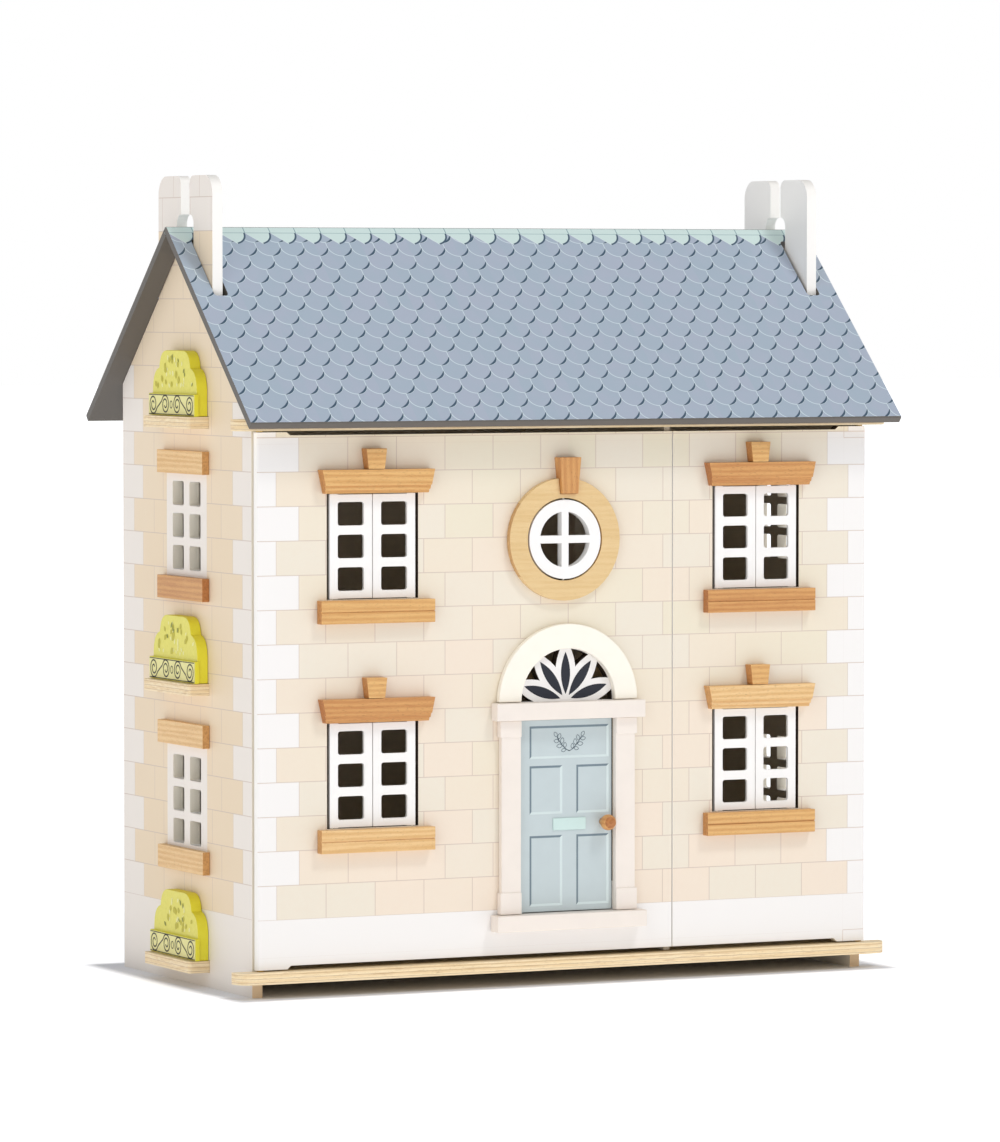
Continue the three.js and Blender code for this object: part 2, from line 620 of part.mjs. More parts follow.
function sill(centre, top) {
  const x0 = centre - SILL_W / 2;
  const x1 = centre + SILL_W / 2;
  const middle = top - SILL_H / 2;
  const block = box(x0, x1, WALL_FACE - SILL_OUT, WALL_FACE, top - SILL_H, top);
  const face = WALL_FACE - SILL_OUT;
  const groove = box(x0 - 1, x1 + 1, face - 1, face + 1, middle - 0.5, middle + 0.5);
  return block.subtract(groove);
}

// ---- casements ----
// hand -1 hangs on the left jamb, hand 1 on the right
function casement(centre, bottom, hand) {
  const edge = centre + hand * (WINDOW_W / 2 - JAMB); // outer, hinged edge
  const x0 = Math.min(edge, edge - hand * CASEMENT_W);
  const z0 = bottom + (WINDOW_H - CASEMENT_H) / 2;
  const shape = rectangle(x0, x0 + CASEMENT_W, z0, z0 + CASEMENT_H);
  for (let row = 0; row < 3; row += 1) {
    const middleZ = z0 + CASEMENT_H / 2 + (row - 1) * PANE_PITCH;
    const middleX = x0 + CASEMENT_W / 2;
    shape.holes.push(roundedRect(middleX - PANE_W / 2, middleX + PANE_W / 2,
      middleZ - PANE_H / 2, middleZ + PANE_H / 2, PANE_R, THREE.Path));
  }
  const front = PANEL_FRONT;
  const lugEnd = edge - hand * 7.6;
  const lug = box(Math.min(edge, lugEnd), Math.max(edge, lugEnd), front, front + CASEMENT_T,
    bottom + 0.35, bottom + WINDOW_H - 0.35);
  const frame = frontPlate(shape, front, CASEMENT_T, 2);
  const posts = box(x0, x0 + CASEMENT_W, front, front + CASEMENT_T, z0 + 2, z0 + CASEMENT_H - 2);
  const stubs = upright(STUB_R, stubX(centre, hand), STUB_Y, bottom - 2, bottom + WINDOW_H + 2, 10);
  const ends = lug.add(stubs).subtract(posts);
  return frame.add(ends);
}

function windowKeystone(centre, bottom) {
  return keystone(centre + KEYSTONE_SHIFT, bottom, KEYSTONE_H, ...KEYSTONE_W, TRIM_OUT);
}

for (const [side, label] of [[-1, 'left'], [1, 'right']]) {
  for (const row of [0, 1]) {
    const name = `${label}_${row === 0 ? 'lower' : 'upper'}`;
    const centre = side * WINDOW_X;
    const bottom = windowBottom(side, row);
    const top = bottom + WINDOW_H;
    add(`${name}_lintel`, lintel(centre, top + 0.2), BEECH);
    add(`${name}_keystone`, windowKeystone(centre, top + 0.6 + LINTEL_H), BEECH);
    add(`${name}_sill`, sill(centre, bottom - 0.6), BEECH);
    add(`${name}_casement_a`, casement(windowCentre(side), bottom, -1), WHITE);
    add(`${name}_casement_b`, casement(windowCentre(side), bottom, 1), WHITE);
  }
}

// ---- entrance ----
function pilaster(hand) {
  const inner = DOOR_X + hand * DOOR_W / 2;
  const strip = (width, out, z0, z1) => {
    const outer = inner + hand * width;
    return box(Math.min(inner, outer), Math.max(inner, outer), WALL_FACE - out, WALL_FACE, z0, z1);
  };
  const [foot, head] = [DOOR_BOTTOM + 0.4, DOOR_TOP - 0.4];
  const shaft = strip(PILASTER_W - SHAFT_IN[0], PILASTER_OUT - SHAFT_IN[1], foot, head);
  const base = strip(PILASTER_W, PILASTER_OUT, foot, foot + PILASTER_BASE);
  const capital = strip(PILASTER_W, PILASTER_OUT, head - PILASTER_CAP, head);
  return shaft.add(base).add(capital);
}

add('left_pilaster', pilaster(-1), CREAM);
add('right_pilaster', pilaster(1), CREAM);
add('door_shelf', box(DOOR_X - SHELF_W / 2, DOOR_X + SHELF_W / 2, WALL_FACE - SHELF_OUT, WALL_FACE,
  DOOR_TOP, DOOR_TOP + SHELF_H), CREAM);
add('door_step', box(DOOR_X - STEP_W / 2, DOOR_X + STEP_W / 2, WALL_FACE - STEP_OUT, WALL_FACE,
  DOOR_BOTTOM - STEP_H, DOOR_BOTTOM), CREAM);

function archRing() {
  const shape = new THREE.Shape();
  const z = FAN_Z + GAP;
  shape.moveTo(DOOR_X + FANLIGHT_R, z);
  shape.lineTo(DOOR_X + ARCH_R, z);
  shape.absarc(DOOR_X, z, ARCH_R, 0, Math.PI, false);
  shape.lineTo(DOOR_X - FANLIGHT_R, z);
  shape.absarc(DOOR_X, z, FANLIGHT_R, Math.PI, 0, true);
  return frontPlate(shape, WALL_FACE - ARCH_OUT, ARCH_OUT, 20);
}
add('door_arch', archRing(), CREAM);

function doorLeaf() {
  const x0 = DOOR_X - DOOR_W / 2 + 1;
  const x1 = DOOR_X + DOOR_W / 2 - 1;
  const back = PANEL_FRONT + LEAF_T;
  const r = 2;
  const plan = new THREE.Shape();
  plan.moveTo(x1, PANEL_FRONT);
  plan.lineTo(x1, back);
  plan.lineTo(x0 + r, back);
  plan.absarc(x0 + r, back - r, r, Math.PI / 2, Math.PI, false);
  plan.lineTo(x0, PANEL_FRONT + r);
  plan.absarc(x0 + r, PANEL_FRONT + r, r, Math.PI, Math.PI * 1.5, false);
  const z0 = DOOR_BOTTOM + 1;
  const slab = solid(extrude(plan, DOOR_TOP - 1 - z0, 4).translate(0, 0, z0));
  const stubs = upright(1, DOOR_STUB_X, DOOR_STUB_Y, DOOR_BOTTOM - 2.5, DOOR_TOP + 2.5, 12);
  return slab.add(stubs);
}
add('door_leaf', doorLeaf(), DOOR);

function doorKnob() {
  const lathe = new THREE.LatheGeometry(KNOB_PROFILE.map(([r, h]) => new THREE.Vector2(r, h)), 20);
  return solid(lathe.rotateX(Math.PI).translate(DOOR_X + KNOB_IN, PANEL_FRONT - GAP, KNOB_Z));
}
add('door_knob', doorKnob(), BEECH);

// ---- round window ----
const DISC_Y = WALL_FACE - RING_OUT + DISC_T / 2;

function roundKeystone(spread, out) {
  const [topW, bottomW] = ROUND_KEY_W.map((width) => width + 2 * spread);
  return keystone(ROUND_X + ROUND_KEY_SHIFT, ROUND_KEY_Z - spread, ROUND_KEY_H + spread, topW, bottomW, out);
}

function ring() {
  const around = [WALL_FACE - RING_OUT - 1, WALL_FACE + 1];
  const hole = disc(RING_HOLE_R, ...around);
  const reach = RING_HOLE_R + 3.4;
  const stubHoles = upright(1.25, ROUND_X, DISC_Y, ROUND_Z - reach, ROUND_Z + reach, 12);
  const body = disc(RING_R, WALL_FACE - RING_OUT, WALL_FACE);
  return cutAll(body, [hole, stubHoles, roundKeystone(GAP, TRIM_OUT).translate([0, GAP, 0])]);
}

function roundWindow() {
  const y0 = DISC_Y - DISC_T / 2;
  const y1 = DISC_Y + DISC_T / 2;
  const half = DISC_BAR / 2;
  const reach = DISC_HOLE_R + 2;
  const rim = disc(DISC_R, y0, y1).subtract(disc(DISC_HOLE_R, y0 - 1, y1 + 1, 40));
  const crossBar = box(ROUND_X - reach, ROUND_X + reach, y0, y1, ROUND_Z - half, ROUND_Z + half);
  const postBar = box(ROUND_X - half, ROUND_X + half, y0, y1, ROUND_Z - reach, ROUND_Z + reach);
  const tip = RING_HOLE_R + 2.6;
  const stub = (z0, z1) => upright(1, ROUND_X, DISC_Y, z0, z1, 12);
  const topStub = stub(ROUND_Z + DISC_R - 2, ROUND_Z + tip);
  const bottomStub = stub(ROUND_Z - tip, ROUND_Z - DISC_R + 2);
  return rim.add(crossBar).add(postBar).add(topStub).add(bottomStub);
}

add('round_ring', ring(), MAPLE);
add('round_window', roundWindow(), WHITE);
add('round_keystone', roundKeystone(0, TRIM_OUT), BEECH);

export default group;
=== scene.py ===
"""The looks of a wooden dollhouse.

Printed stone walls and slate roof, beech trims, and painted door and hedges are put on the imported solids.
"""
import functools
import json
import math
import random

import bmesh
import bpy
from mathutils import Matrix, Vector


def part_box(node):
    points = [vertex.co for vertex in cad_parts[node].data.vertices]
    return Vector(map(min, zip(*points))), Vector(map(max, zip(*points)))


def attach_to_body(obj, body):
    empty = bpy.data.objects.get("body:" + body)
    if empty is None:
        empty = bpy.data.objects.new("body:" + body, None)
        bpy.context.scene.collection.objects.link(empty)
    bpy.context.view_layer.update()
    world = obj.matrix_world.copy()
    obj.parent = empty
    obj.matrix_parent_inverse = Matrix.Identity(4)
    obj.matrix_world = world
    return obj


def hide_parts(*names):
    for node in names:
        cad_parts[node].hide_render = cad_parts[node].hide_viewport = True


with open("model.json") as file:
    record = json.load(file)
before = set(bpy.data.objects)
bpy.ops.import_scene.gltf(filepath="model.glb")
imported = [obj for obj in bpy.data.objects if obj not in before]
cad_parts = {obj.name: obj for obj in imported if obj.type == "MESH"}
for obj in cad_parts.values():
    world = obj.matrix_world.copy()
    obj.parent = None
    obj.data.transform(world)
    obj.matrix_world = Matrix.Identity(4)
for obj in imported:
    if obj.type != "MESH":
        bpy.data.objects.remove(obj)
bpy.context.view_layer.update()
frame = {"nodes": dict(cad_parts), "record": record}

NODES = frame["nodes"]
RECORD = frame["record"]
BODY_OF = {node: body for body, nodes in RECORD["behaviour"]["bodies"].items() for node in nodes}
SLOT_OF = {part["node"]: part["material_slot"] for part in RECORD["subparts"]}
MM = 0.001  # the print and decal sizes below are in millimetres, as the part's are


def low(node):
    """Lowest corner of a CAD node, in millimetres."""
    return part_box(node)[0] / MM


def high(node):
    """Highest corner of a CAD node, in millimetres."""
    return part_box(node)[1] / MM


# ---- shader expressions ----
class Value:
    """A node output that can be used in ordinary arithmetic."""

    def __init__(self, shader, socket):
        self.shader = shader
        self.socket = socket

    def do(self, operation, *others):
        return self.shader.node("ShaderNodeMath", (self, *others), operation=operation)

    def __add__(self, other):
        return self.do("ADD", other)

    def __sub__(self, other):
        return self.do("SUBTRACT", other)

    def __mul__(self, other):
        return self.do("MULTIPLY", other)

    def __truediv__(self, other):
        return self.do("DIVIDE", other)

    def __lt__(self, other):
        return self.do("LESS_THAN", other)

    def __gt__(self, other):
        return self.do("GREATER_THAN", other)

    def __abs__(self):
        return self.do("ABSOLUTE")

    def sqrt(self):
        return self.do("SQRT")

    def floor(self):
        return self.do("FLOOR")

    def fract(self):
        return self.do("FRACT")

    def low(self, other):
        return self.do("MINIMUM", other)

    def high(self, other):
        return self.do("MAXIMUM", other)

    def pick(self, if_zero, if_one):
        """if_zero where this is 0, if_one where it is 1; both are numbers or values."""
        one = if_one * self if isinstance(if_one, Value) else self * if_one
        rest = self * -1 + 1
        return one + (if_zero * rest if isinstance(if_zero, Value) else rest * if_zero)


class Shader:
    """A material written as a short program, with lengths in millimetres in the part's own frame."""

    def __init__(self, name, roughness=0.5):
        self.material = bpy.data.materials.new(name)
        self.material.use_nodes = True
        self.tree = self.material.node_tree
        self.surface = self.tree.nodes["Principled BSDF"]
        self.surface.inputs["Roughness"].default_value = roughness
        place = self.tree.nodes.new("ShaderNodeTexCoord")
        self.place = Value(self, place.outputs["Object"])
        self.normal = Value(self, place.outputs["Normal"])
        self.x, self.y, self.z = (axis * (1 / MM) for axis in self.split(self.place))

    def put(self, socket, value):
        if isinstance(value, Value):
            self.tree.links.new(value.socket, socket)
        else:
            socket.default_value = value

    def node(self, kind, inputs, output=0, **settings):
        node = self.tree.nodes.new(kind)
        for key, value in settings.items():
            setattr(node, key, value)
        for key, value in inputs.items() if isinstance(inputs, dict) else enumerate(inputs):
            self.put(node.inputs[key], value)
        return Value(self, node.outputs[output])

    def split(self, vector):
        node = self.tree.nodes.new("ShaderNodeSeparateXYZ")
        self.put(node.inputs[0], vector)
        return [Value(self, output) for output in node.outputs]

    def join(self, *parts):
        return self.node("ShaderNodeCombineXYZ", parts)

    def mix(self, factor, first, second):
        inputs = {0: factor, 6: first, 7: second}
        return self.node("ShaderNodeMix", inputs, output=2, data_type="RGBA")

    def noise(self, vector, scale, detail=3.0, roughness=0.5):
        inputs = {"Vector": vector, "Scale": scale, "Detail": detail, "Roughness": roughness}
        return self.node("ShaderNodeTexNoise", inputs)

    def chance(self, vector):
        """A different number from 0 to 1 for each whole-numbered vector."""
        return self.node("ShaderNodeTexWhiteNoise", {"Vector": vector}, noise_dimensions="3D")

    def fade(self, value, start, end):
        """0 at start and 1 at end, with soft ends."""
        inputs = {"Value": value, "From Min": start, "From Max": end}
        return self.node("ShaderNodeMapRange", inputs, interpolation_type="SMOOTHSTEP")

    def facing(self, direction, limit=0.7):
        """1 on faces that look the given way in the part's frame."""
        inputs = (self.normal, direction)
        return self.node("ShaderNodeVectorMath", inputs, output=1, operation="DOT_PRODUCT") > limit

    def spot(self):
        """The place on the surface as one vector."""
        return self.join(self.x, self.y, self.z)

    def bump(self, height, distance, strength=1.0):
        inputs = {"Height": height, "Distance": distance * MM, "Strength": strength}
        self.put(self.surface.inputs["Normal"], self.node("ShaderNodeBump", inputs))

    def colour(self, value):
        self.put(self.surface.inputs["Base Color"], value)
        return self.material

    def rough(self, value):
        self.put(self.surface.inputs["Roughness"], value)


def srgb(red, green, blue):
    """An 8-bit display colour as a linear shader colour."""
    def linear(c):
        c /= 255
        return c / 12.92 if c <= 0.04045 else ((c + 0.055) / 1.055) ** 2.4
    return (linear(red), linear(green), linear(blue), 1.0)


# ---- plain finishes ----
FRONT, BACK = Vector((0, -1, 0)), Vector((0, 1, 0))
LEFT, RIGHT = Vector((-1, 0, 0)), Vector((1, 0, 0))
UP, DOWN = Vector((0, 0, 1)), Vector((0, 0, -1))
PLY = 3.2  # thickness of a plywood layer
PLY_SEAM = srgb(176, 134, 88)
PLY_STREAK = srgb(186, 142, 92)


def shade_of(tone, *factors):
    """The tone with its red, green and blue scaled, by one factor or by three."""
    red, green, blue = factors * 3 if len(factors) == 1 else factors
    return (tone[0] * red, tone[1] * green, tone[2] * blue, 1.0)


def wood(name, light, dark, grain, roughness=0.45, fleck=0.5, bands=0.2, ply=None):
    """Lacquered wood with its grain along axis 0, 1 or 2, darker on its end grain.

    ply is the height of the underside of a plywood board, whose edges show its layers.
    """
    s = Shader(name, roughness)
    parts = [s.x, s.y, s.z]
    parts[grain] = parts[grain] * 0.07
    along = s.join(*parts)
    broad = s.noise(along, 0.16, 4.0, 0.6)
    inputs = {"Vector": along, "Scale": 0.07, "Distortion": 5.0, "Detail": 3.0, "Detail Scale": 1.2}
    across = "Z" if grain != 2 else "X"
    rings = s.node("ShaderNodeTexWave", inputs, output=1, wave_type="BANDS", bands_direction=across)
    fine = s.noise(along, 1.6, 4.0, 0.65)
    parts[grain] = parts[grain] * 2.6
    dashes = s.noise(s.join(*parts), 1.9, 1.5)
    pores = s.fade(dashes, 0.62, 0.7)
    tone = s.fade(broad * (0.62 - bands) + rings * bands + fine * 0.38, 0.32, 0.68)
    shade = s.mix(tone, light, dark)
    shade = s.mix(pores * fleck, shade, shade_of(dark, 0.6))
    end = Vector([1.0 if axis == grain else 0.0 for axis in range(3)])
    ends = s.facing(end, 0.8).high(s.facing(-end, 0.8))
    if ply is None:
        mottle = s.fade(s.noise(s.spot(), 0.5, 4.0), 0.35, 0.65)
        end_grain = s.mix(mottle, shade_of(dark, 0.72, 0.6, 0.5), shade_of(dark, 0.9, 0.8, 0.72))
        shade = s.mix(ends, shade, end_grain)
    else:
        flat = s.facing(UP, 0.8).high(s.facing(DOWN, 0.8))
        wander = (broad - 0.5) * 0.7
        seam = s.fade(nearest(s.z - ply + PLY / 2 + wander, PLY), 0.42, 0.12)
        streak = s.fade(s.noise(s.join(s.x * 0.12, s.y * 0.12, s.z * 1.5), 0.5, 3.0), 0.56, 0.68)
        edge = s.mix(seam * 0.5, shade, PLY_SEAM)
        edge = s.mix(streak * 0.35, edge, PLY_STREAK)
        shade = s.mix(flat, edge, shade)
    s.bump(fine * 0.6 + pores * -0.8, 0.07, 0.35)
    s.rough(fine * 0.16 + (roughness - 0.08))
    return s.colour(shade)


def paint(name, tone, roughness=0.45, speckle=0.012):
    """Brushed paint: an even colour with a faint unevenness."""
    s = Shader(name, roughness)
    wash = s.noise(s.spot(), 0.06, 4.0)
    fine = s.noise(s.spot(), 1.6, 2.0)
    darker = shade_of(tone, 1 - speckle * 2)
    s.bump(fine, 0.03, 0.4)
    s.rough(wash * 0.12 + (roughness - 0.06))
    return s.colour(s.mix(s.fade(wash, 0.35, 0.7), tone, darker))


def brass(name):
    s = Shader(name, 0.3)
    s.surface.inputs["Metallic"].default_value = 1.0
    fine = s.noise(s.join(s.x, s.y, s.z * 6), 1.2, 2.0)
    s.rough(fine * 0.2 + 0.2)
    return s.colour(srgb(205, 168, 92))


# ---- printed finishes ----
COURSE = 28  # height of a printed stone course
PLINTH = 63.7  # top of the printed plinth
QUOIN_TOP = 511.7  # the white corner stones end here
CREAM = srgb(235, 227, 204)
PEACH = srgb(241, 226, 208)
CREAM_COOL = srgb(237, 228, 211)
SAND = srgb(237, 216, 185)
SAND_PALE = srgb(239, 220, 192)
CHIMNEY = srgb(240, 232, 223)
CHIMNEY_FOOT = PLINTH + 20 * COURSE  # the grey chimney print starts here
RAW_EDGE = srgb(232, 204, 166)
WALL_EDGE = srgb(236, 229, 212)
OPENING_SHADE = srgb(58, 46, 36)  # painted shade on the walls of the window and fanlight openings, dark like the shaded rooms behind them
QUOIN = srgb(245, 242, 239)
SIDE_QUOIN = srgb(241, 233, 224)
CORNER_STONE = {"x": QUOIN, "y": SIDE_QUOIN}
GROUT = srgb(206, 186, 172)
WEATHERING = srgb(232, 205, 180)
BOARD_WHITE = srgb(252, 249, 244)
INSIDE = srgb(234, 226, 213)
INSIDE_TOP = 560.0  # above this the walls' inner faces are white, as the chimneys are
WINDOWS_OUT = 280  # the fronts' window openings lie within this of the middle,
WINDOWS_CLEAR = 20  # this far inside the plinth's and the corner stones' tops
SEAM_CLEAR = 4  # and this far from the seam between the two fronts
FAR_OFF = 10  # takes a printed line out of reach where it isn't wanted


def nearest(value, pitch):
    """Distance to the nearest multiple of pitch."""
    return (abs((value / pitch).fract() - 0.5) * -1 + 0.5) * pitch


def stone(name, level, facing, middle, short, long, first_short, tones, whites=(), fan=None, lugs=None):
    """Printed courses of stone with alternating white corner stones.

    level picks the coordinate along the wall, and middle is the line that the print is mirrored about.
    short and long are (corner stone's edge, joint phase, joint pitch) for the two kinds of course. fan is
    the fanlight's centre and radius. lugs are the edges of the hinge corners, round which a thin line of
    painted shade stands in for their seam.
    """
    s = Shader(name, 0.5)
    side = s.x if level == "x" else s.y
    along = abs(side - middle)
    mirrored = side > middle
    course = ((s.z - PLINTH) / COURSE).floor()
    odd = abs((course / 2).fract() - 0.5) < 0.25
    is_long = odd if first_short else odd * -1 + 1
    edge = is_long.pick(short[0], long[0])
    from_joint = [along - phase for _, phase, _ in (short, long)]
    joint = is_long.pick(*(nearest(d, kind[2]) for d, kind in zip(from_joint, (short, long))))
    stone_at = is_long.pick(*((d / kind[2]).floor() for d, kind in zip(from_joint, (short, long))))
    beside_quoins = s.z < QUOIN_TOP
    corner = (along > edge) * beside_quoins
    # the stones' own tones
    which = s.chance(s.join(stone_at, course, mirrored * 7))
    drift = s.noise(s.spot(), 0.006, 1.0)
    lowness = s.z * -0.0016 + 0.9  # the lower stones are warmer
    body = s.mix(s.fade(which * 0.35 + drift * 0.5 + lowness * 0.7, 0.35, 1.0), *tones)
    if level == "x":
        cool = s.chance(s.join(course, stone_at, mirrored * 5))
        body = s.mix(s.fade(cool, 0.55, 0.75), body, CREAM_COOL)
    grain = s.noise(s.spot(), 0.25, 5.0, 0.65)
    body = s.mix(s.fade(grain, 0.3, 0.75) * 0.07, body, WEATHERING)
    if level == "y":
        body = s.mix(s.z > CHIMNEY_FOOT, body, CHIMNEY)
    white_stone = CORNER_STONE[level]
    body = s.mix(corner, body, white_stone)
    # the lines between them
    upright_line = s.fade(joint, 0.5, 0.15) * (corner * -1 + 1)
    corner_line = s.fade(abs(along - edge), 0.4, 0.1) * beside_quoins * 0.5
    bed_line = s.fade(nearest(s.z - PLINTH, COURSE), 0.5, 0.15)
    body = s.mix(upright_line.high(bed_line).high(corner_line) * 0.8, body, GROUT)
    body = s.mix(s.z > PLINTH, white_stone, body)
    # white surrounds, and the board's own edges and inner face, with painted shade on the openings' walls
    white = s.z * 0
    for centre, half, bottom, top in whites:
        inside = (abs(side - centre) < half) * (s.z > bottom) * (s.z < top)
        white = white.high(inside)
    cut_edge = BOARD_WHITE
    if fan:
        aside, above = s.x - fan[0], s.z - fan[1]
        in_fan = ((aside * aside + above * above).sqrt() < fan[2] + 0.4) * (above > -3)
        white = white.high(in_fan)
        from_seam = abs(s.x - high("left_panel").x)
        by_windows = (s.z > PLINTH + WINDOWS_CLEAR) * (s.z < QUOIN_TOP - WINDOWS_CLEAR)
        by_windows = by_windows * (abs(s.x) < WINDOWS_OUT) * (from_seam > SEAM_CLEAR)
        # the walls of the fanlight's and windows' openings are painted dark: painted shade standing in for
        # the shaded rooms behind them
        cut_out = in_fan.high(by_windows) * (s.facing(BACK) * -1 + 1)
        cut_edge = s.mix(cut_out, BOARD_WHITE, OPENING_SHADE)
    body = s.mix(white, body, white_stone)
    # a thin dark line round the hinge corners: painted shade for the seam round them
    if lugs:
        inner, bottom, top = lugs
        across = abs(s.x - inner) * ((s.z < bottom) + (s.z > top)).pick(FAR_OFF, 1)
        ends = abs(s.z - bottom).low(abs(s.z - top)) * (s.x > inner).pick(FAR_OFF, 1)
        body = s.mix(s.fade(across.low(ends), 0.45, 0.12) * 0.7, body, GROUT)
    if level == "y":
        front_edge = s.mix(s.z < low("base_board").z, WALL_EDGE, RAW_EDGE)
        below_roof = (s.z < high("attic_floor").z + 40) * s.facing(FRONT)
        cut_edge = s.mix(below_roof, BOARD_WHITE, front_edge)
    cut_edge = s.mix(s.facing(-facing) * (s.z < INSIDE_TOP), cut_edge, INSIDE)
    s.bump(grain, 0.04, 0.3)
    s.rough(grain * 0.1 + 0.42)
    return s.colour(s.mix(s.facing(facing), cut_edge, body))


PITCH = math.radians(42.3)  # the roof's slope
APEX_RISE = 1.12  # the slopes' surfaces would meet this far above the rounded ridge
TILE = 21.55  # pitch of the printed roof tiles along a row
TILE_START = 64.25  # left of the middle, a tile's centre in the even rows
ROW = 16.75  # pitch of the rows down the slope
FIRST_ARC = 26.4  # ridge to the centres of the first row's arcs
RIDGE_TILE = 23.1  # pitch of the ridge scallops
RIDGE_START = 69.0  # left of the middle, a joint between two ridge scallops
BAND = 8.8  # depth of the ridge band
SCALLOP_TIP = 12.8  # along the ridge from a scallop's straight side to its tip
SCALLOP_END = 22.4  # how far down the slope the tips reach
SCALLOP_RIM = 0.11  # how thick the dark rim is, in arc radii
SCALLOP_IN = 3.2  # the arc starts this far in from its own top, which leaves the tip pointed
SCALLOP_ROUND = math.sqrt(1 - (SCALLOP_IN / (RIDGE_TILE - SCALLOP_TIP + SCALLOP_IN)) ** 2)
MINT = srgb(214, 234, 231)
SLATE = srgb(171, 187, 203)
SLATE_WARM = srgb(177, 187, 205)
TILE_EDGE = srgb(216, 230, 237)
TILE_SHADOW = srgb(60, 86, 108)
RIDGE_LINE = srgb(112, 150, 160)
SCALLOP_EDGE = srgb(226, 238, 240)
SHADOW_T = 2.9  # the printed shadow at its thickest
ROOF_BACK = srgb(95, 90, 84)


def roof(name):
    """Fish-scale tiles in rows down both slopes, under a ridge band; edges and underside are plain."""
    s = Shader(name, 0.42)
    apex = high("front_roof").z + APEX_RISE
    down = abs(s.y) * math.cos(PITCH) + (s.z * -1 + apex) * math.sin(PITCH)
    rows = (down - FIRST_ARC) / ROW
    row = rows.floor()
    shifted = abs((row / 2).fract() - 0.5) < 0.25
    radius = TILE / 2

    def from_tile(shift):
        """Signed distance along the row to the nearest tile centre."""
        return ((s.x + TILE_START - shift * radius) / TILE + 0.5).fract() * TILE - radius

    across = from_tile(shifted)
    drop = down - FIRST_ARC - row * ROW
    reach = (across * across + drop * drop).sqrt()
    under = (reach > radius) * (row > -1.5)  # below the arc: it is the next row's tile
    outline = s.fade(abs(reach - radius), 0.6, 0.2)
    next_across = from_tile(shifted * -1 + 1)
    seam = s.fade(abs(next_across) * -1 + radius, 0.5, 0.15) * under
    crescent = across * drop * (2 * SHADOW_T / radius ** 2)
    shadow = s.fade(reach + crescent - radius, 0.0, 0.3) * (reach < radius + 0.1) * (across > 0)
    tile_no = s.chance(s.join((s.x / TILE).floor(), row + under, 3.0))
    wash = s.noise(s.spot(), 0.05, 4.0, 0.6)
    body = s.mix(s.fade(wash * 0.8 + tile_no * 0.35, 0.35, 0.85), SLATE, SLATE_WARM)
    body = s.mix(outline.high(seam), body, TILE_EDGE)
    body = s.mix(shadow, body, TILE_SHADOW)
    # the ridge band: each scallop falls straight to its tip and rises from it in an arc with a dark rim
    from_joint = ((s.x + RIDGE_START) / RIDGE_TILE).fract() * RIDGE_TILE
    past_tip = from_joint - SCALLOP_TIP
    arc = (past_tip + SCALLOP_IN) / (RIDGE_TILE - SCALLOP_TIP + SCALLOP_IN)
    fall = (down - BAND).high(0.0) * (SCALLOP_ROUND / (SCALLOP_END - BAND))
    reach_in_arc = (arc * arc + fall * fall).sqrt()
    straight = from_joint * ((SCALLOP_END - BAND) / SCALLOP_TIP) + BAND
    right = past_tip > 0
    over = down - straight
    in_scallop = right.pick(over < 0.0, reach_in_arc < 1.0 - SCALLOP_RIM)
    above = down < BAND
    band_line = s.fade(abs(down - BAND), 0.45, 0.15) * 0.7
    split = s.fade(nearest(s.x + RIDGE_START, RIDGE_TILE), 0.6, 0.2) * above * 0.8
    band = s.mix(band_line.high(split), MINT, RIDGE_LINE)
    body = s.mix(in_scallop.high(above), body, band)
    from_rim = abs(reach_in_arc - 1.0 + SCALLOP_RIM / 2)
    dark_rim = right * s.fade(from_rim, SCALLOP_RIM * 0.65, SCALLOP_RIM * 0.4)
    pale_rim = s.fade(abs(over), 0.7, 0.3) * (right * -1 + 1)
    below_band = above * -1 + 1
    body = s.mix(pale_rim * below_band * 0.7, body, SCALLOP_EDGE)
    body = s.mix(dark_rim * below_band, body, TILE_SHADOW)
    slopes = [Vector((0, way * math.sin(PITCH), math.cos(PITCH))) for way in (-1, 1)]
    printed = s.facing(slopes[0], 0.9).high(s.facing(slopes[1], 0.9))
    grain = s.noise(s.spot(), 0.7, 4.0, 0.6)
    s.bump(grain, 0.05, 0.3)
    s.rough(grain * 0.14 + 0.36)
    return s.colour(s.mix(printed, ROOF_BACK, body))


def hedge_print(name):
    """Yellow-green paint, paler on the printed face than on the edges."""
    s = Shader(name, 0.5)
    mottle = s.noise(s.spot(), 0.16, 4.0, 0.6)
    dabs = s.fade(s.noise(s.join(s.x, s.y * 1.4, s.z * 0.8), 0.45, 2.0), 0.5, 0.62)
    face = s.mix(mottle, srgb(228, 219, 92), srgb(237, 229, 116))
    face = s.mix(dabs * 0.4, face, srgb(218, 214, 88))
    rim = s.mix(mottle, srgb(232, 221, 40), srgb(238, 230, 62))
    printed = s.facing(RIGHT).high(s.facing(LEFT))
    s.bump(mottle, 0.05, 0.3)
    return s.colour(s.mix(printed, rim, face))


# (corner stone's edge, joint phase, joint pitch) of the short-cornered and the long-cornered courses
FRONT_SHORT = (264.2, 0.0, 44.03)
FRONT_LONG = (244.1, 25.4, 43.73)
SIDE_SHORT = (114.6, 27.4, 43.6)
SIDE_LONG = (95.0, 7.8, 43.6)
SIDE_MIDDLE = 3.0  # the side courses are mirrored this far off the gable's middle
# white surrounds of the side windows: middle, half width, bottom, top
SIDE_WHITES = [(1.65, 42.2, 337.5, 424.0), (1.65, 42.2, 108.4, 197.6)]
FAN = (-2.5, 235.3, 43.5)  # centre and radius of the fanlight
LUGS = (260.0, 33.0, 450.4)  # the hinge corners' inner side, lower one's top and upper one's bottom


def side_stone(name, sign):
    """The printed courses of the right wall, or of the left one mirrored, where sign is -1."""
    whites = [(sign * centre, half, bottom, top) for centre, half, bottom, top in SIDE_WHITES]
    middle = sign * SIDE_MIDDLE
    return stone(name, "y", RIGHT * sign, middle, SIDE_SHORT, SIDE_LONG, False, (SAND_PALE, SAND), whites)


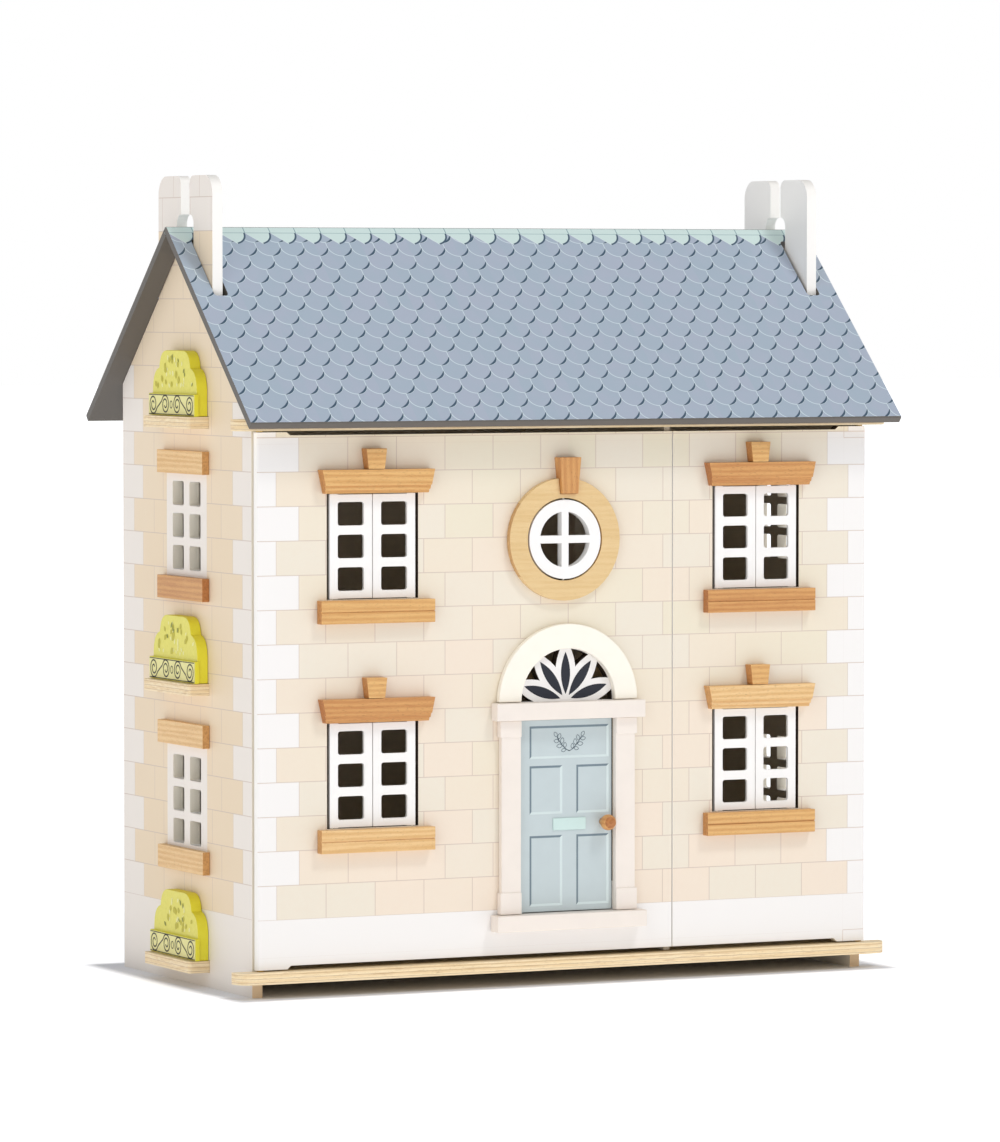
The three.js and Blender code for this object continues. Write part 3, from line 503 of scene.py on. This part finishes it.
# glued trims are cut from lighter and darker beech
BEECH = {"pale": (srgb(240, 202, 146), srgb(222, 176, 114)),
         "mid": (srgb(229, 182, 116), srgb(210, 155, 90)),
         "deep": (srgb(217, 162, 98), srgb(196, 134, 76))}
PLYWOOD = (srgb(250, 230, 192), srgb(238, 210, 162))
PALE_TRIMS = ("left_lower_sill", "right_lower_lintel", "left_upper_side_lintel", "left_lower_side_lintel",
              "left_lower_side_sill", "right_upper_side_sill", "right_lower_side_lintel")
DEEP_TRIMS = ("left_lower_lintel", "right_upper_lintel", "right_upper_sill", "left_upper_side_sill",
              "round_keystone", "right_upper_side_lintel", "right_lower_side_sill")


@functools.cache
def beech(tone, grain):
    """Beech in one of its tones, with its grain along x, y or z; made once for each."""
    return wood(f"beech_{tone}_{grain}", *BEECH[tone], "xyz".index(grain))


MATERIALS = {
    "front_stone": stone("front_stone", "x", FRONT, 0.0, FRONT_SHORT, FRONT_LONG, True, (CREAM, PEACH),
                         fan=FAN, lugs=LUGS),
    "left_stone": side_stone("left_stone", -1),
    "right_stone": side_stone("right_stone", 1),
    "back_stone": stone("back_stone", "x", BACK, 0.0, FRONT_SHORT, FRONT_LONG, True, (CREAM, PEACH)),
    "roof": roof("roof"),
    "maple": wood("maple", srgb(232, 201, 148), srgb(222, 187, 130), 0, fleck=0.15, bands=0.08),
    **{board: wood(board + "_ply", *PLYWOOD, 0, fleck=0.3, ply=low(board).z)
       for board in ("base_board", "first_floor", "attic_floor")},
    "white": paint("white", srgb(250, 248, 245), 0.38),
    "cream": paint("cream", srgb(243, 233, 223), 0.42),
    "arch": paint("arch", srgb(255, 249, 235), 0.42),
    "inside": paint("inside", INSIDE, 0.6),
    "door": paint("door", srgb(197, 209, 211), 0.4),
    "door_shade": paint("door_shade", srgb(112, 130, 140), 0.45),
    "door_light": paint("door_light", srgb(216, 229, 229), 0.4),
    "plate": paint("plate", srgb(206, 229, 224), 0.38),
    "ink": paint("ink", srgb(76, 94, 106), 0.5),
    "iron_ink": paint("iron_ink", srgb(52, 50, 28), 0.5),
    "navy": paint("navy", srgb(24, 28, 42), 0.55),
    "olive": paint("olive", srgb(142, 146, 44), 0.5),
    "leaf": paint("leaf", srgb(196, 186, 50), 0.5),
    "pale": paint("pale", srgb(243, 239, 164), 0.5),
    "railing": paint("railing", srgb(238, 231, 158), 0.5),
    "hedge": hedge_print("hedge"),
    "brass": brass("brass"),
}

PRINTED = {"left_wall": "left_stone", "right_wall": "right_stone", "back_wall": "back_stone",
           "left_panel": "front_stone", "right_panel": "front_stone", "door_arch": "arch"}
BY_SLOT = {"roof_print": "roof", "inside_paint": "inside", "hedge_print": "hedge", "pin_brass": "brass",
           "white_paint": "white", "pale_beech": "maple", "cream_paint": "cream"}


def finish_of(node):
    """The material of a CAD node's piece: its own, its kind of beech, or its slot's."""
    if node in PRINTED:
        return MATERIALS[PRINTED[node]]
    if node in MATERIALS:
        return MATERIALS[node]
    if SLOT_OF[node] == "beech":
        tone = "pale" if node in PALE_TRIMS else "deep" if node in DEEP_TRIMS else "mid"
        grain = "y" if "_side_" in node else "z" if node == "round_keystone" else "x"
        return beech(tone, grain)
    return MATERIALS[BY_SLOT[SLOT_OF[node]]]


# ---- pieces ----
def attach(mesh, name, node, replace=False):
    """Makes an object of the mesh and lets it ride with a CAD node's body."""
    piece = bpy.data.objects.new(name, mesh)
    bpy.context.scene.collection.objects.link(piece)
    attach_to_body(piece, BODY_OF[node])
    if replace:
        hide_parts(node)
    return piece


def smooth(piece):
    """Smooth shading that keeps flat faces flat."""
    piece.data.polygons.foreach_set("use_smooth", [True] * len(piece.data.polygons))
    weighted = piece.modifiers.new("weighted", "WEIGHTED_NORMAL")
    weighted.keep_sharp = True
    return piece


HINGE_GAP = 0.9  # how much wider a casement's gap on its hinge side looks than it was packed
STUB_IN = 3.2  # from a casement's outer edge to the axis of its pivot stubs
STUB_KEEP = 1.3  # a vertex nearer the axis than this belongs to a stub, which stays in its bore


def narrow(bm, node):
    """Takes the extra hinge gap off a casement, keeping its meeting edge where it is."""
    lo, hi = low(node).x, high(node).x
    meet, outer = (hi, lo) if node.endswith("_a") else (lo, hi)
    share = 1 - HINGE_GAP / (hi - lo)
    axis = Vector((outer + math.copysign(STUB_IN, meet - outer), (low(node).y + high(node).y) / 2))
    for vert in bm.verts:
        if (Vector(vert.co.xy) / MM - axis).length > STUB_KEEP:
            vert.co.x = (meet + (vert.co.x / MM - meet) * share) * MM


SHARP = 38  # edges that turn more than this many degrees are rounded off


def soften(node, width, segments):
    """A CAD node's shape with its edges rounded off."""
    bm = bmesh.new()
    bm.from_mesh(NODES[node].data)
    bmesh.ops.remove_doubles(bm, verts=bm.verts, dist=0.002 * MM)
    bmesh.ops.dissolve_limit(bm, angle_limit=math.radians(0.5), verts=bm.verts, edges=bm.edges)
    if "casement" in node:
        narrow(bm, node)
    sharp = [edge for edge in bm.edges
             if len(edge.link_faces) == 2 and edge.calc_face_angle() > math.radians(SHARP)]
    bmesh.ops.bevel(bm, geom=sharp, offset=width * MM, segments=segments, profile=0.5, affect="EDGES",
                    clamp_overlap=True)
    mesh = bpy.data.meshes.new(node + "_soft")
    bm.to_mesh(mesh)
    bm.free()
    mesh.materials.append(finish_of(node))
    return smooth(attach(mesh, node + "_soft", node, replace=True))


class Sheet:
    """Flat printed shapes on one plane, drawn in (across, up) millimetres."""

    def __init__(self, place):
        self.place = place
        self.points = []
        self.faces = []
        self.kinds = []
        self.inks = []

    def shape(self, outline, ink):
        start = len(self.points)
        self.points += [Vector(self.place(u, v)) * MM for u, v in outline]
        self.faces.append(range(start, start + len(outline)))
        if ink not in self.inks:
            self.inks.append(ink)
        self.kinds.append(self.inks.index(ink))

    def line(self, route, width, ink):
        """A ribbon along a route of points."""
        route = [Vector(p) for p in route]
        sides = []
        for i, p in enumerate(route):
            way = (route[min(i + 1, len(route) - 1)] - route[max(i - 1, 0)]).normalized()
            out = Vector((-way.y, way.x)) * width / 2
            sides.append((p + out, p - out))
        for (a, b), (c, d) in zip(sides, sides[1:]):
            self.shape([a, b, d, c], ink)

    def attach(self, name, node):
        mesh = bpy.data.meshes.new(name)
        mesh.from_pydata(self.points, [], [list(face) for face in self.faces])
        for ink in self.inks:
            mesh.materials.append(MATERIALS[ink])
        mesh.polygons.foreach_set("material_index", self.kinds)
        return attach(mesh, name, node)


def lens(start, end, half, angle, origin, steps=14):
    """A pointed oval from start to end along a direction; half is half its width in the middle."""
    ahead = Vector((math.cos(angle), math.sin(angle)))
    aside = Vector((-ahead.y, ahead.x))

    def edge(t, hand):
        return ahead * (start + (end - start) * t) + aside * (hand * half * 4 * t * (1 - t))

    rows = [i / steps for i in range(steps + 1)]
    points = [edge(t, 1) for t in rows] + [edge(t, -1) for t in reversed(rows[1:-1])]
    return [Vector(origin) + p for p in points]


def curl(centre, outer, inner, begin, turns, steps=36):
    """A spiral that winds inwards, slowly at first; negative turns wind clockwise."""
    points = []
    for i in range(steps + 1):
        t = i / steps
        angle = math.radians(begin) + turns * 2 * math.pi * t
        radius = outer + (inner - outer) * t ** 1.25
        points.append((centre[0] + radius * math.cos(angle), centre[1] + radius * math.sin(angle)))
    return points


PRINT_LIFT = 0.12  # printed shapes lie this far off their surface
OVERLAP_LIFT = 0.004  # and each one that may overlap the last lies this much further
PETALS = (18, 54, 90, 126, 162)  # the fanlight's petals, in degrees round its centre


def fanlight():
    """Dark petals printed in the arch over the door."""
    sheet = Sheet(lambda u, v: (u, low("left_panel").y - PRINT_LIFT, v))
    for degrees in PETALS:
        sheet.shape(lens(5.0, 40.0, 4.2, math.radians(degrees), (FAN[0], FAN[1] + 0.3)), "navy")
    sheet.attach("fanlight_print", "left_panel")


# ---- the door ----
# left, right, bottom and top of each sunk panel
DOOR_PANELS = [(-35.6, 37.6, 187.6, 214.6), (-35.6, -5.4, 141.5, 181.6), (7.6, 37.6, 141.5, 181.6),
               (-35.6, -5.4, 65.2, 123.6), (7.6, 37.6, 65.2, 123.6)]
PANEL_SINK = 0.5  # how deep the panels lie
BEVEL = 1.9  # width of the panels' printed bevels
STUB_OUT = 3.5  # the door's pivot stubs reach this far past the leaf
STUB_AXIS = 4.0  # from the leaf's hinge edge to the axis of its stubs
HEEL = 2.0  # the hinge edge's rounding
LETTER_PLATE = ((-14.2, 127.8), (15.8, 137.8))  # its lower left and upper right corners


def prism(plan, bottom, top, verts, faces):
    """Adds an upright prism; plan is its outline in (x, y) seen from above, counterclockwise.

    A side that would lie in the leaf's front is left out, because the panelled front is there.
    """
    start, count = len(verts), len(plan)
    verts.extend(Vector((x, y, z)) * MM for z in (bottom, top) for x, y in plan)
    faces.append([start + i for i in reversed(range(count))])
    faces.append([start + count + i for i in range(count)])
    for i in range(count):
        j = (i + 1) % count
        if plan[i][1] != plan[j][1] or plan[i][1] > low("door_leaf").y + 1:
            faces.append([start + i, start + j, start + count + j, start + count + i])


def door_leaf():
    """The leaf with five sunk panels; their printed bevels are dark at the left and top."""
    lo, hi = low("door_leaf"), high("door_leaf")
    front, back = lo.y, hi.y
    bottom, top = lo.z + STUB_OUT, hi.z - STUB_OUT
    verts, faces, kinds = [], [], []

    def quad(points, kind):
        start = len(verts)
        verts.extend(Vector(p) * MM for p in points)
        faces.append(range(start, start + 4))
        kinds.append(kind)

    xs = sorted({lo.x + HEEL, hi.x, *(edge for p in DOOR_PANELS for edge in p[:2])})
    zs = sorted({bottom, top, *(edge for p in DOOR_PANELS for edge in p[2:])})
    for x0, x1 in zip(xs, xs[1:]):
        for z0, z1 in zip(zs, zs[1:]):
            middle = ((x0 + x1) / 2, (z0 + z1) / 2)
            if not any(p[0] < middle[0] < p[1] and p[2] < middle[1] < p[3] for p in DOOR_PANELS):
                quad([(x0, front, z0), (x1, front, z0), (x1, front, z1), (x0, front, z1)], 0)
    for x0, x1, z0, z1 in DOOR_PANELS:
        outer = [(x0, front, z0), (x1, front, z0), (x1, front, z1), (x0, front, z1)]
        deep = front + PANEL_SINK
        inner = [(x0 + BEVEL, deep, z0 + BEVEL), (x1 - BEVEL, deep, z0 + BEVEL),
                 (x1 - BEVEL, deep, z1 - BEVEL), (x0 + BEVEL, deep, z1 - BEVEL)]
        quad(inner, 0)
        for i, kind in enumerate((2, 2, 1, 1)):
            j = (i + 1) % 4
            quad([outer[i], outer[j], inner[j], inner[i]], kind)
    arc = [math.radians(a) for a in range(0, 91, 15)]
    plan = [(hi.x, front), (hi.x, back)]
    plan += [(lo.x + HEEL - HEEL * math.sin(a), back - HEEL + HEEL * math.cos(a)) for a in arc]
    plan += [(lo.x + HEEL - HEEL * math.cos(a), front + HEEL - HEEL * math.sin(a)) for a in arc]
    prism(plan, bottom, top, verts, faces)
    pin = Vector((lo.x + STUB_AXIS, (front + back) / 2))
    ring = [math.radians(a) for a in range(0, 360, 30)]
    for z0, z1 in ((lo.z, bottom), (top, hi.z)):
        prism([(pin.x + math.cos(a), pin.y + math.sin(a)) for a in ring], z0, z1, verts, faces)
    kinds += [0] * (len(faces) - len(kinds))
    mesh = bpy.data.meshes.new("door_leaf_painted")
    mesh.from_pydata(verts, [], [list(face) for face in faces])
    for name in ("door", "door_shade", "door_light"):
        mesh.materials.append(MATERIALS[name])
    mesh.polygons.foreach_set("material_index", kinds)
    return attach(mesh, "door_leaf_painted", "door_leaf", replace=True)


def block(name, node, lo, hi, material, width=0.4):
    """A small rounded block glued on, from its lowest corner to its highest in millimetres."""
    bm = bmesh.new()
    bmesh.ops.create_cube(bm, size=1.0)
    for vert in bm.verts:
        vert.co = Vector(lo[i] + (vert.co[i] + 0.5) * (hi[i] - lo[i]) for i in range(3)) * MM
    bmesh.ops.bevel(bm, geom=bm.edges[:], offset=width * MM, segments=2, profile=0.5, affect="EDGES")
    mesh = bpy.data.meshes.new(name)
    bm.to_mesh(mesh)
    bm.free()
    mesh.materials.append(MATERIALS[material])
    return smooth(attach(mesh, name, node))


SPRIG_FOOT = (1.2, 193.4)  # where the two twigs start on the door


def sprig(sheet, side):
    """A curved twig with leaves drawn in outline."""
    def stem(t):
        return Vector((SPRIG_FOOT[0] + side * (12.0 * t ** 0.8 - 0.8), SPRIG_FOOT[1] + 11.6 * t ** 1.4))

    def leaf(t, turn, length):
        ahead = stem(min(t + 0.05, 1.05)) - stem(t - 0.05)
        shape = lens(0.3, length, length * 0.28, math.atan2(ahead.y, ahead.x) + turn, stem(t), 10)
        sheet.line(shape + shape[:1], 0.45, "ink")

    sheet.line([stem(i / 14) for i in range(15)], 0.55, "ink")
    for t, length in ((0.22, 4.8), (0.5, 5.6), (0.78, 5.2)):
        leaf(t, 0.9, length)
        leaf(t + 0.1, -0.9, length)
    leaf(1.0, 0.0, 5.0)


def door_details():
    """The letter plate, and the sprig printed in the top panel."""
    front = low("door_leaf").y
    (left, bottom), (right, top) = LETTER_PLATE
    block("letter_plate", "door_leaf", (left, front - 1.2, bottom), (right, front + 0.1, top), "plate")
    sheet = Sheet(lambda u, v: (u, front + PANEL_SINK - PRINT_LIFT, v))
    for side in (-1, 1):
        sprig(sheet, side)
    sheet.attach("door_sprig", "door_leaf")


# from its foot to its tip, as (radius, height) in shares of its own
KNOB_PROFILE = [(0.0, 0.0), (0.5, 0.0), (0.47, 0.2), (0.52, 0.3), (0.78, 0.4), (0.97, 0.54), (1.0, 0.68),
                (0.93, 0.82), (0.74, 0.93), (0.42, 0.985), (0.0, 1.0)]
KNOB_SIDES = 40


def knob():
    """A turned knob on a short neck."""
    lo, hi = low("door_knob"), high("door_knob")
    centre, reach, length = (lo + hi) / 2, (hi.x - lo.x) / 2, hi.y - lo.y
    around = [2 * math.pi * i / KNOB_SIDES for i in range(KNOB_SIDES)]
    bm = bmesh.new()
    rings = []
    for share, height in KNOB_PROFILE:
        y, radius = hi.y - height * length, share * reach
        angles = around if share else [0.0]
        spots = [(centre.x + radius * math.cos(a), y, centre.z + radius * math.sin(a)) for a in angles]
        rings.append([bm.verts.new(Vector(p) * MM) for p in spots])
    for a, b in zip(rings, rings[1:]):
        for i in range(KNOB_SIDES):
            j = (i + 1) % KNOB_SIDES
            corners = [a[i % len(a)], a[j % len(a)], b[j % len(b)], b[i % len(b)]]
            bm.faces.new(list(dict.fromkeys(corners)))
    bmesh.ops.recalc_face_normals(bm, faces=bm.faces)
    mesh = bpy.data.meshes.new("door_knob_turned")
    bm.to_mesh(mesh)
    bm.free()
    mesh.materials.append(beech("deep", "y"))
    mesh.polygons.foreach_set("use_smooth", [True] * len(mesh.polygons))
    return attach(mesh, "door_knob_turned", "door_knob", replace=True)


# ---- the hedges ----
STRIP_OUT = 2.9  # the railing's strip stands this far out from the hedge's face
STRIP_HALF = 47.9  # half the printed strip's length
STRIP_FOOT, STRIP_TOP = 0.7, 17.5  # its edges, from the hedge's underside as all heights here
RAILS = (1.1, 17.0)
RAIL_END = 47.3
SCROLL_LINE = 1.3  # line width of the scrollwork
LEAVES_FROM, LEAVES_TO = 21.0, 46.0
# ink, how many, length and half width in lengths of each kind of leaf dab
DABS = (("pale", 20, 4.4, 0.3), ("leaf", 14, 6.4, 0.36), ("olive", 5, 5.4, 0.26))


def railing(node, place):
    """A scrollwork railing on the hedge's strip."""
    sheet = Sheet(place(PRINT_LIFT))
    half = STRIP_HALF
    corners = [(-half, STRIP_FOOT), (half, STRIP_FOOT), (half, STRIP_TOP), (-half, STRIP_TOP)]
    sheet.shape(corners, "railing")
    sheet.place = place(2 * PRINT_LIFT)
    for v in RAILS:
        sheet.line([(-RAIL_END, v), (RAIL_END, v)], 0.7, "iron_ink")
    outer_curl = curl((38.2, 9.1), 8.0, 1.6, -128, 1.8)
    inner_curl = curl((12.6, 9.1), 7.8, 1.6, 52, 1.8)
    link = [inner_curl[0], (20.4, 11.8), (30.0, 6.2), outer_curl[0]]
    for hand in (-1, 1):
        for route in (outer_curl, inner_curl, link):
            sheet.line([(hand * u, v) for u, v in route], SCROLL_LINE, "iron_ink")
    ring = [a / 6 * math.pi for a in range(13)]
    sheet.line([(2.4 * math.cos(a), 9.2 + 3.0 * math.sin(a)) for a in ring], 0.9, "iron_ink")
    sheet.attach(node + "_railing_print", node)


def leaves(node, place, seed):
    """Dabs of paint on the hedge's face, fewer towards its crown."""
    sheet = Sheet(place(PRINT_LIFT))
    chance = random.Random(seed)
    for ink, count, size, plump in DABS:
        for _ in range(count):
            v = chance.uniform(LEAVES_FROM, LEAVES_TO)
            room = 39 if v < 32 else 25 if v < 41 else 15  # the face is narrower higher up
            u = chance.uniform(-room, room)
            length = size * chance.uniform(0.75, 1.15)
            angle = chance.uniform(0.7, 2.4)
            sheet.place = place(PRINT_LIFT + (len(sheet.faces) + 1) * OVERLAP_LIFT)
            sheet.shape(lens(0, length, length * plump, angle, (u, v), 6), ink)
    sheet.attach(node + "_leaf_print", node)


def hedge_details(node, seed):
    """What is printed on a hedge's outer side."""
    side = 1 if high(node).x > 0 else -1
    outer = high(node).x if side > 0 else low(node).x
    base = low(node).z

    def on(surface):
        """Places a sheet on the outward surface at x = surface, lifted off it."""
        return lambda lift: lambda u, v: (surface + side * lift, -side * u, base + v)

    railing(node, on(outer))
    leaves(node, on(outer - side * STRIP_OUT), seed)


# ---- build ----
FIRST_SEED = 11
# how far the edges of each kind of piece are rounded off
WIDTHS = {"lintel": 0.2, "sill": 0.2, "keystone": 0.25, "hedge": 1.3, "round": 0.6, "roof": 0.5,
          "board": 0.5, "floor": 0.5, "wall": 0.5, "panel": 0.5, "casement": 0.35, "pilaster": 0.8,
          "shelf": 0.8, "step": 0.8, "arch": 0.9, "pin": 0.2}
for node_name in sorted(NODES):
    if node_name in ("door_leaf", "door_knob"):
        continue
    wide = next((w for key, w in WIDTHS.items() if key in node_name), 0.5)
    soften(node_name, wide, 3 if "hedge" in node_name else 2)

fanlight()
door_leaf()
door_details()
knob()
for hedge_seed, node_name in enumerate(sorted(n for n in NODES if n.endswith("_hedge")), FIRST_SEED):
    hedge_details(node_name, hedge_seed)


# ---- stage ----
FLOOR_SIZE = 30.0  # half the floor's width, in metres
FLOOR_TONE = (0.84, 0.86, 0.92, 1.0)
FLOOR_GLOW = 0.62  # beside the house the floor turns white
SHADOW_REACH = 18.0  # over this distance
FLOOR_GLOW_FAR = 0.25  # and far off, where less light falls, it glows more
FAR_FROM, FAR_TO = 600, 2500
FOOT_HALF = 296  # half the width of the floor that keeps its shadow, nearly the base board's


def floor():
    """A white floor that keeps a narrow shadow round the house."""
    size = FLOOR_SIZE
    corners = [(-size, -size, 0), (size, -size, 0), (size, size, 0), (-size, size, 0)]
    mesh = bpy.data.meshes.new("floor")
    mesh.from_pydata(corners, [], [range(4)])
    s = Shader("floor", 0.7)
    beside = (abs(s.x) - FOOT_HALF).high(0.0)
    ahead = (abs(s.y) - abs(low("base_board").y)).high(0.0)
    away = (beside * beside + ahead * ahead).sqrt()
    s.surface.inputs["Emission Color"].default_value = (1, 1, 1, 1)
    glow = s.fade(away, 0.0, SHADOW_REACH) * FLOOR_GLOW + s.fade(away, FAR_FROM, FAR_TO) * FLOOR_GLOW_FAR
    s.put(s.surface.inputs["Emission Strength"], glow)
    mesh.materials.append(s.colour(FLOOR_TONE))
    ground = bpy.data.objects.new("floor", mesh)
    bpy.context.scene.collection.objects.link(ground)


SKY_LIGHT = 0.46  # how strongly the white surroundings light the house
HOUSE_MIDDLE = (0, 0, 0.3)  # the lamps' aim, in metres


def studio():
    """White surroundings that light the house more weakly than they look."""
    world = bpy.data.worlds.new("studio")
    world.use_nodes = True
    tree = world.node_tree
    sky = tree.nodes["Background"]
    sky.inputs["Color"].default_value = (1, 1, 1, 1)
    seen = tree.nodes.new("ShaderNodeLightPath")
    strength = tree.nodes.new("ShaderNodeMapRange")
    strength.inputs["To Min"].default_value = SKY_LIGHT
    strength.inputs["To Max"].default_value = 1.0
    tree.links.new(seen.outputs["Is Camera Ray"], strength.inputs["Value"])
    tree.links.new(strength.outputs["Result"], sky.inputs["Strength"])
    bpy.context.scene.world = world
    bpy.context.scene.view_settings.view_transform = "Standard"


def lamp(name, place, size, power):
    """A round soft lamp that looks at the house; place and size are in metres, power in watts."""
    light = bpy.data.lights.new(name, "AREA")
    light.shape = "DISK"
    light.size = size
    light.energy = power
    thing = bpy.data.objects.new(name, light)
    thing.location = place
    thing.rotation_euler = (Vector(HOUSE_MIDDLE) - Vector(place)).to_track_quat("-Z", "Y").to_euler()
    bpy.context.scene.collection.objects.link(thing)


# the photo's viewpoint, fitted to the house's corners in it
CAMERA_PLACE = (-2.3397, -4.8584, 0.5765)
CAMERA_TURN, CAMERA_TIP = 25.789, 2.546  # degrees to the right of +Y, and down
CAMERA_LENS = 200.48
CAMERA_SENSOR = 36


def photo_camera():
    """The camera at the photo's angle."""
    camera = bpy.data.cameras.new("camera")
    camera.lens = CAMERA_LENS
    camera.sensor_width = CAMERA_SENSOR
    camera.clip_end = 100
    viewer = bpy.data.objects.new("camera", camera)
    viewer.location = CAMERA_PLACE
    turn, tip = math.radians(CAMERA_TURN), math.radians(CAMERA_TIP)
    aim = Vector((math.sin(turn) * math.cos(tip), math.cos(turn) * math.cos(tip), -math.sin(tip)))
    viewer.rotation_euler = aim.to_track_quat("-Z", "Y").to_euler()
    bpy.context.scene.collection.objects.link(viewer)
    bpy.context.scene.camera = viewer


floor()
studio()
lamp("key", (2.4, -5.2, 8.0), 2.0, 225)
lamp("fill", (-4.6, -3.8, 3.0), 3.4, 47)
photo_camera()
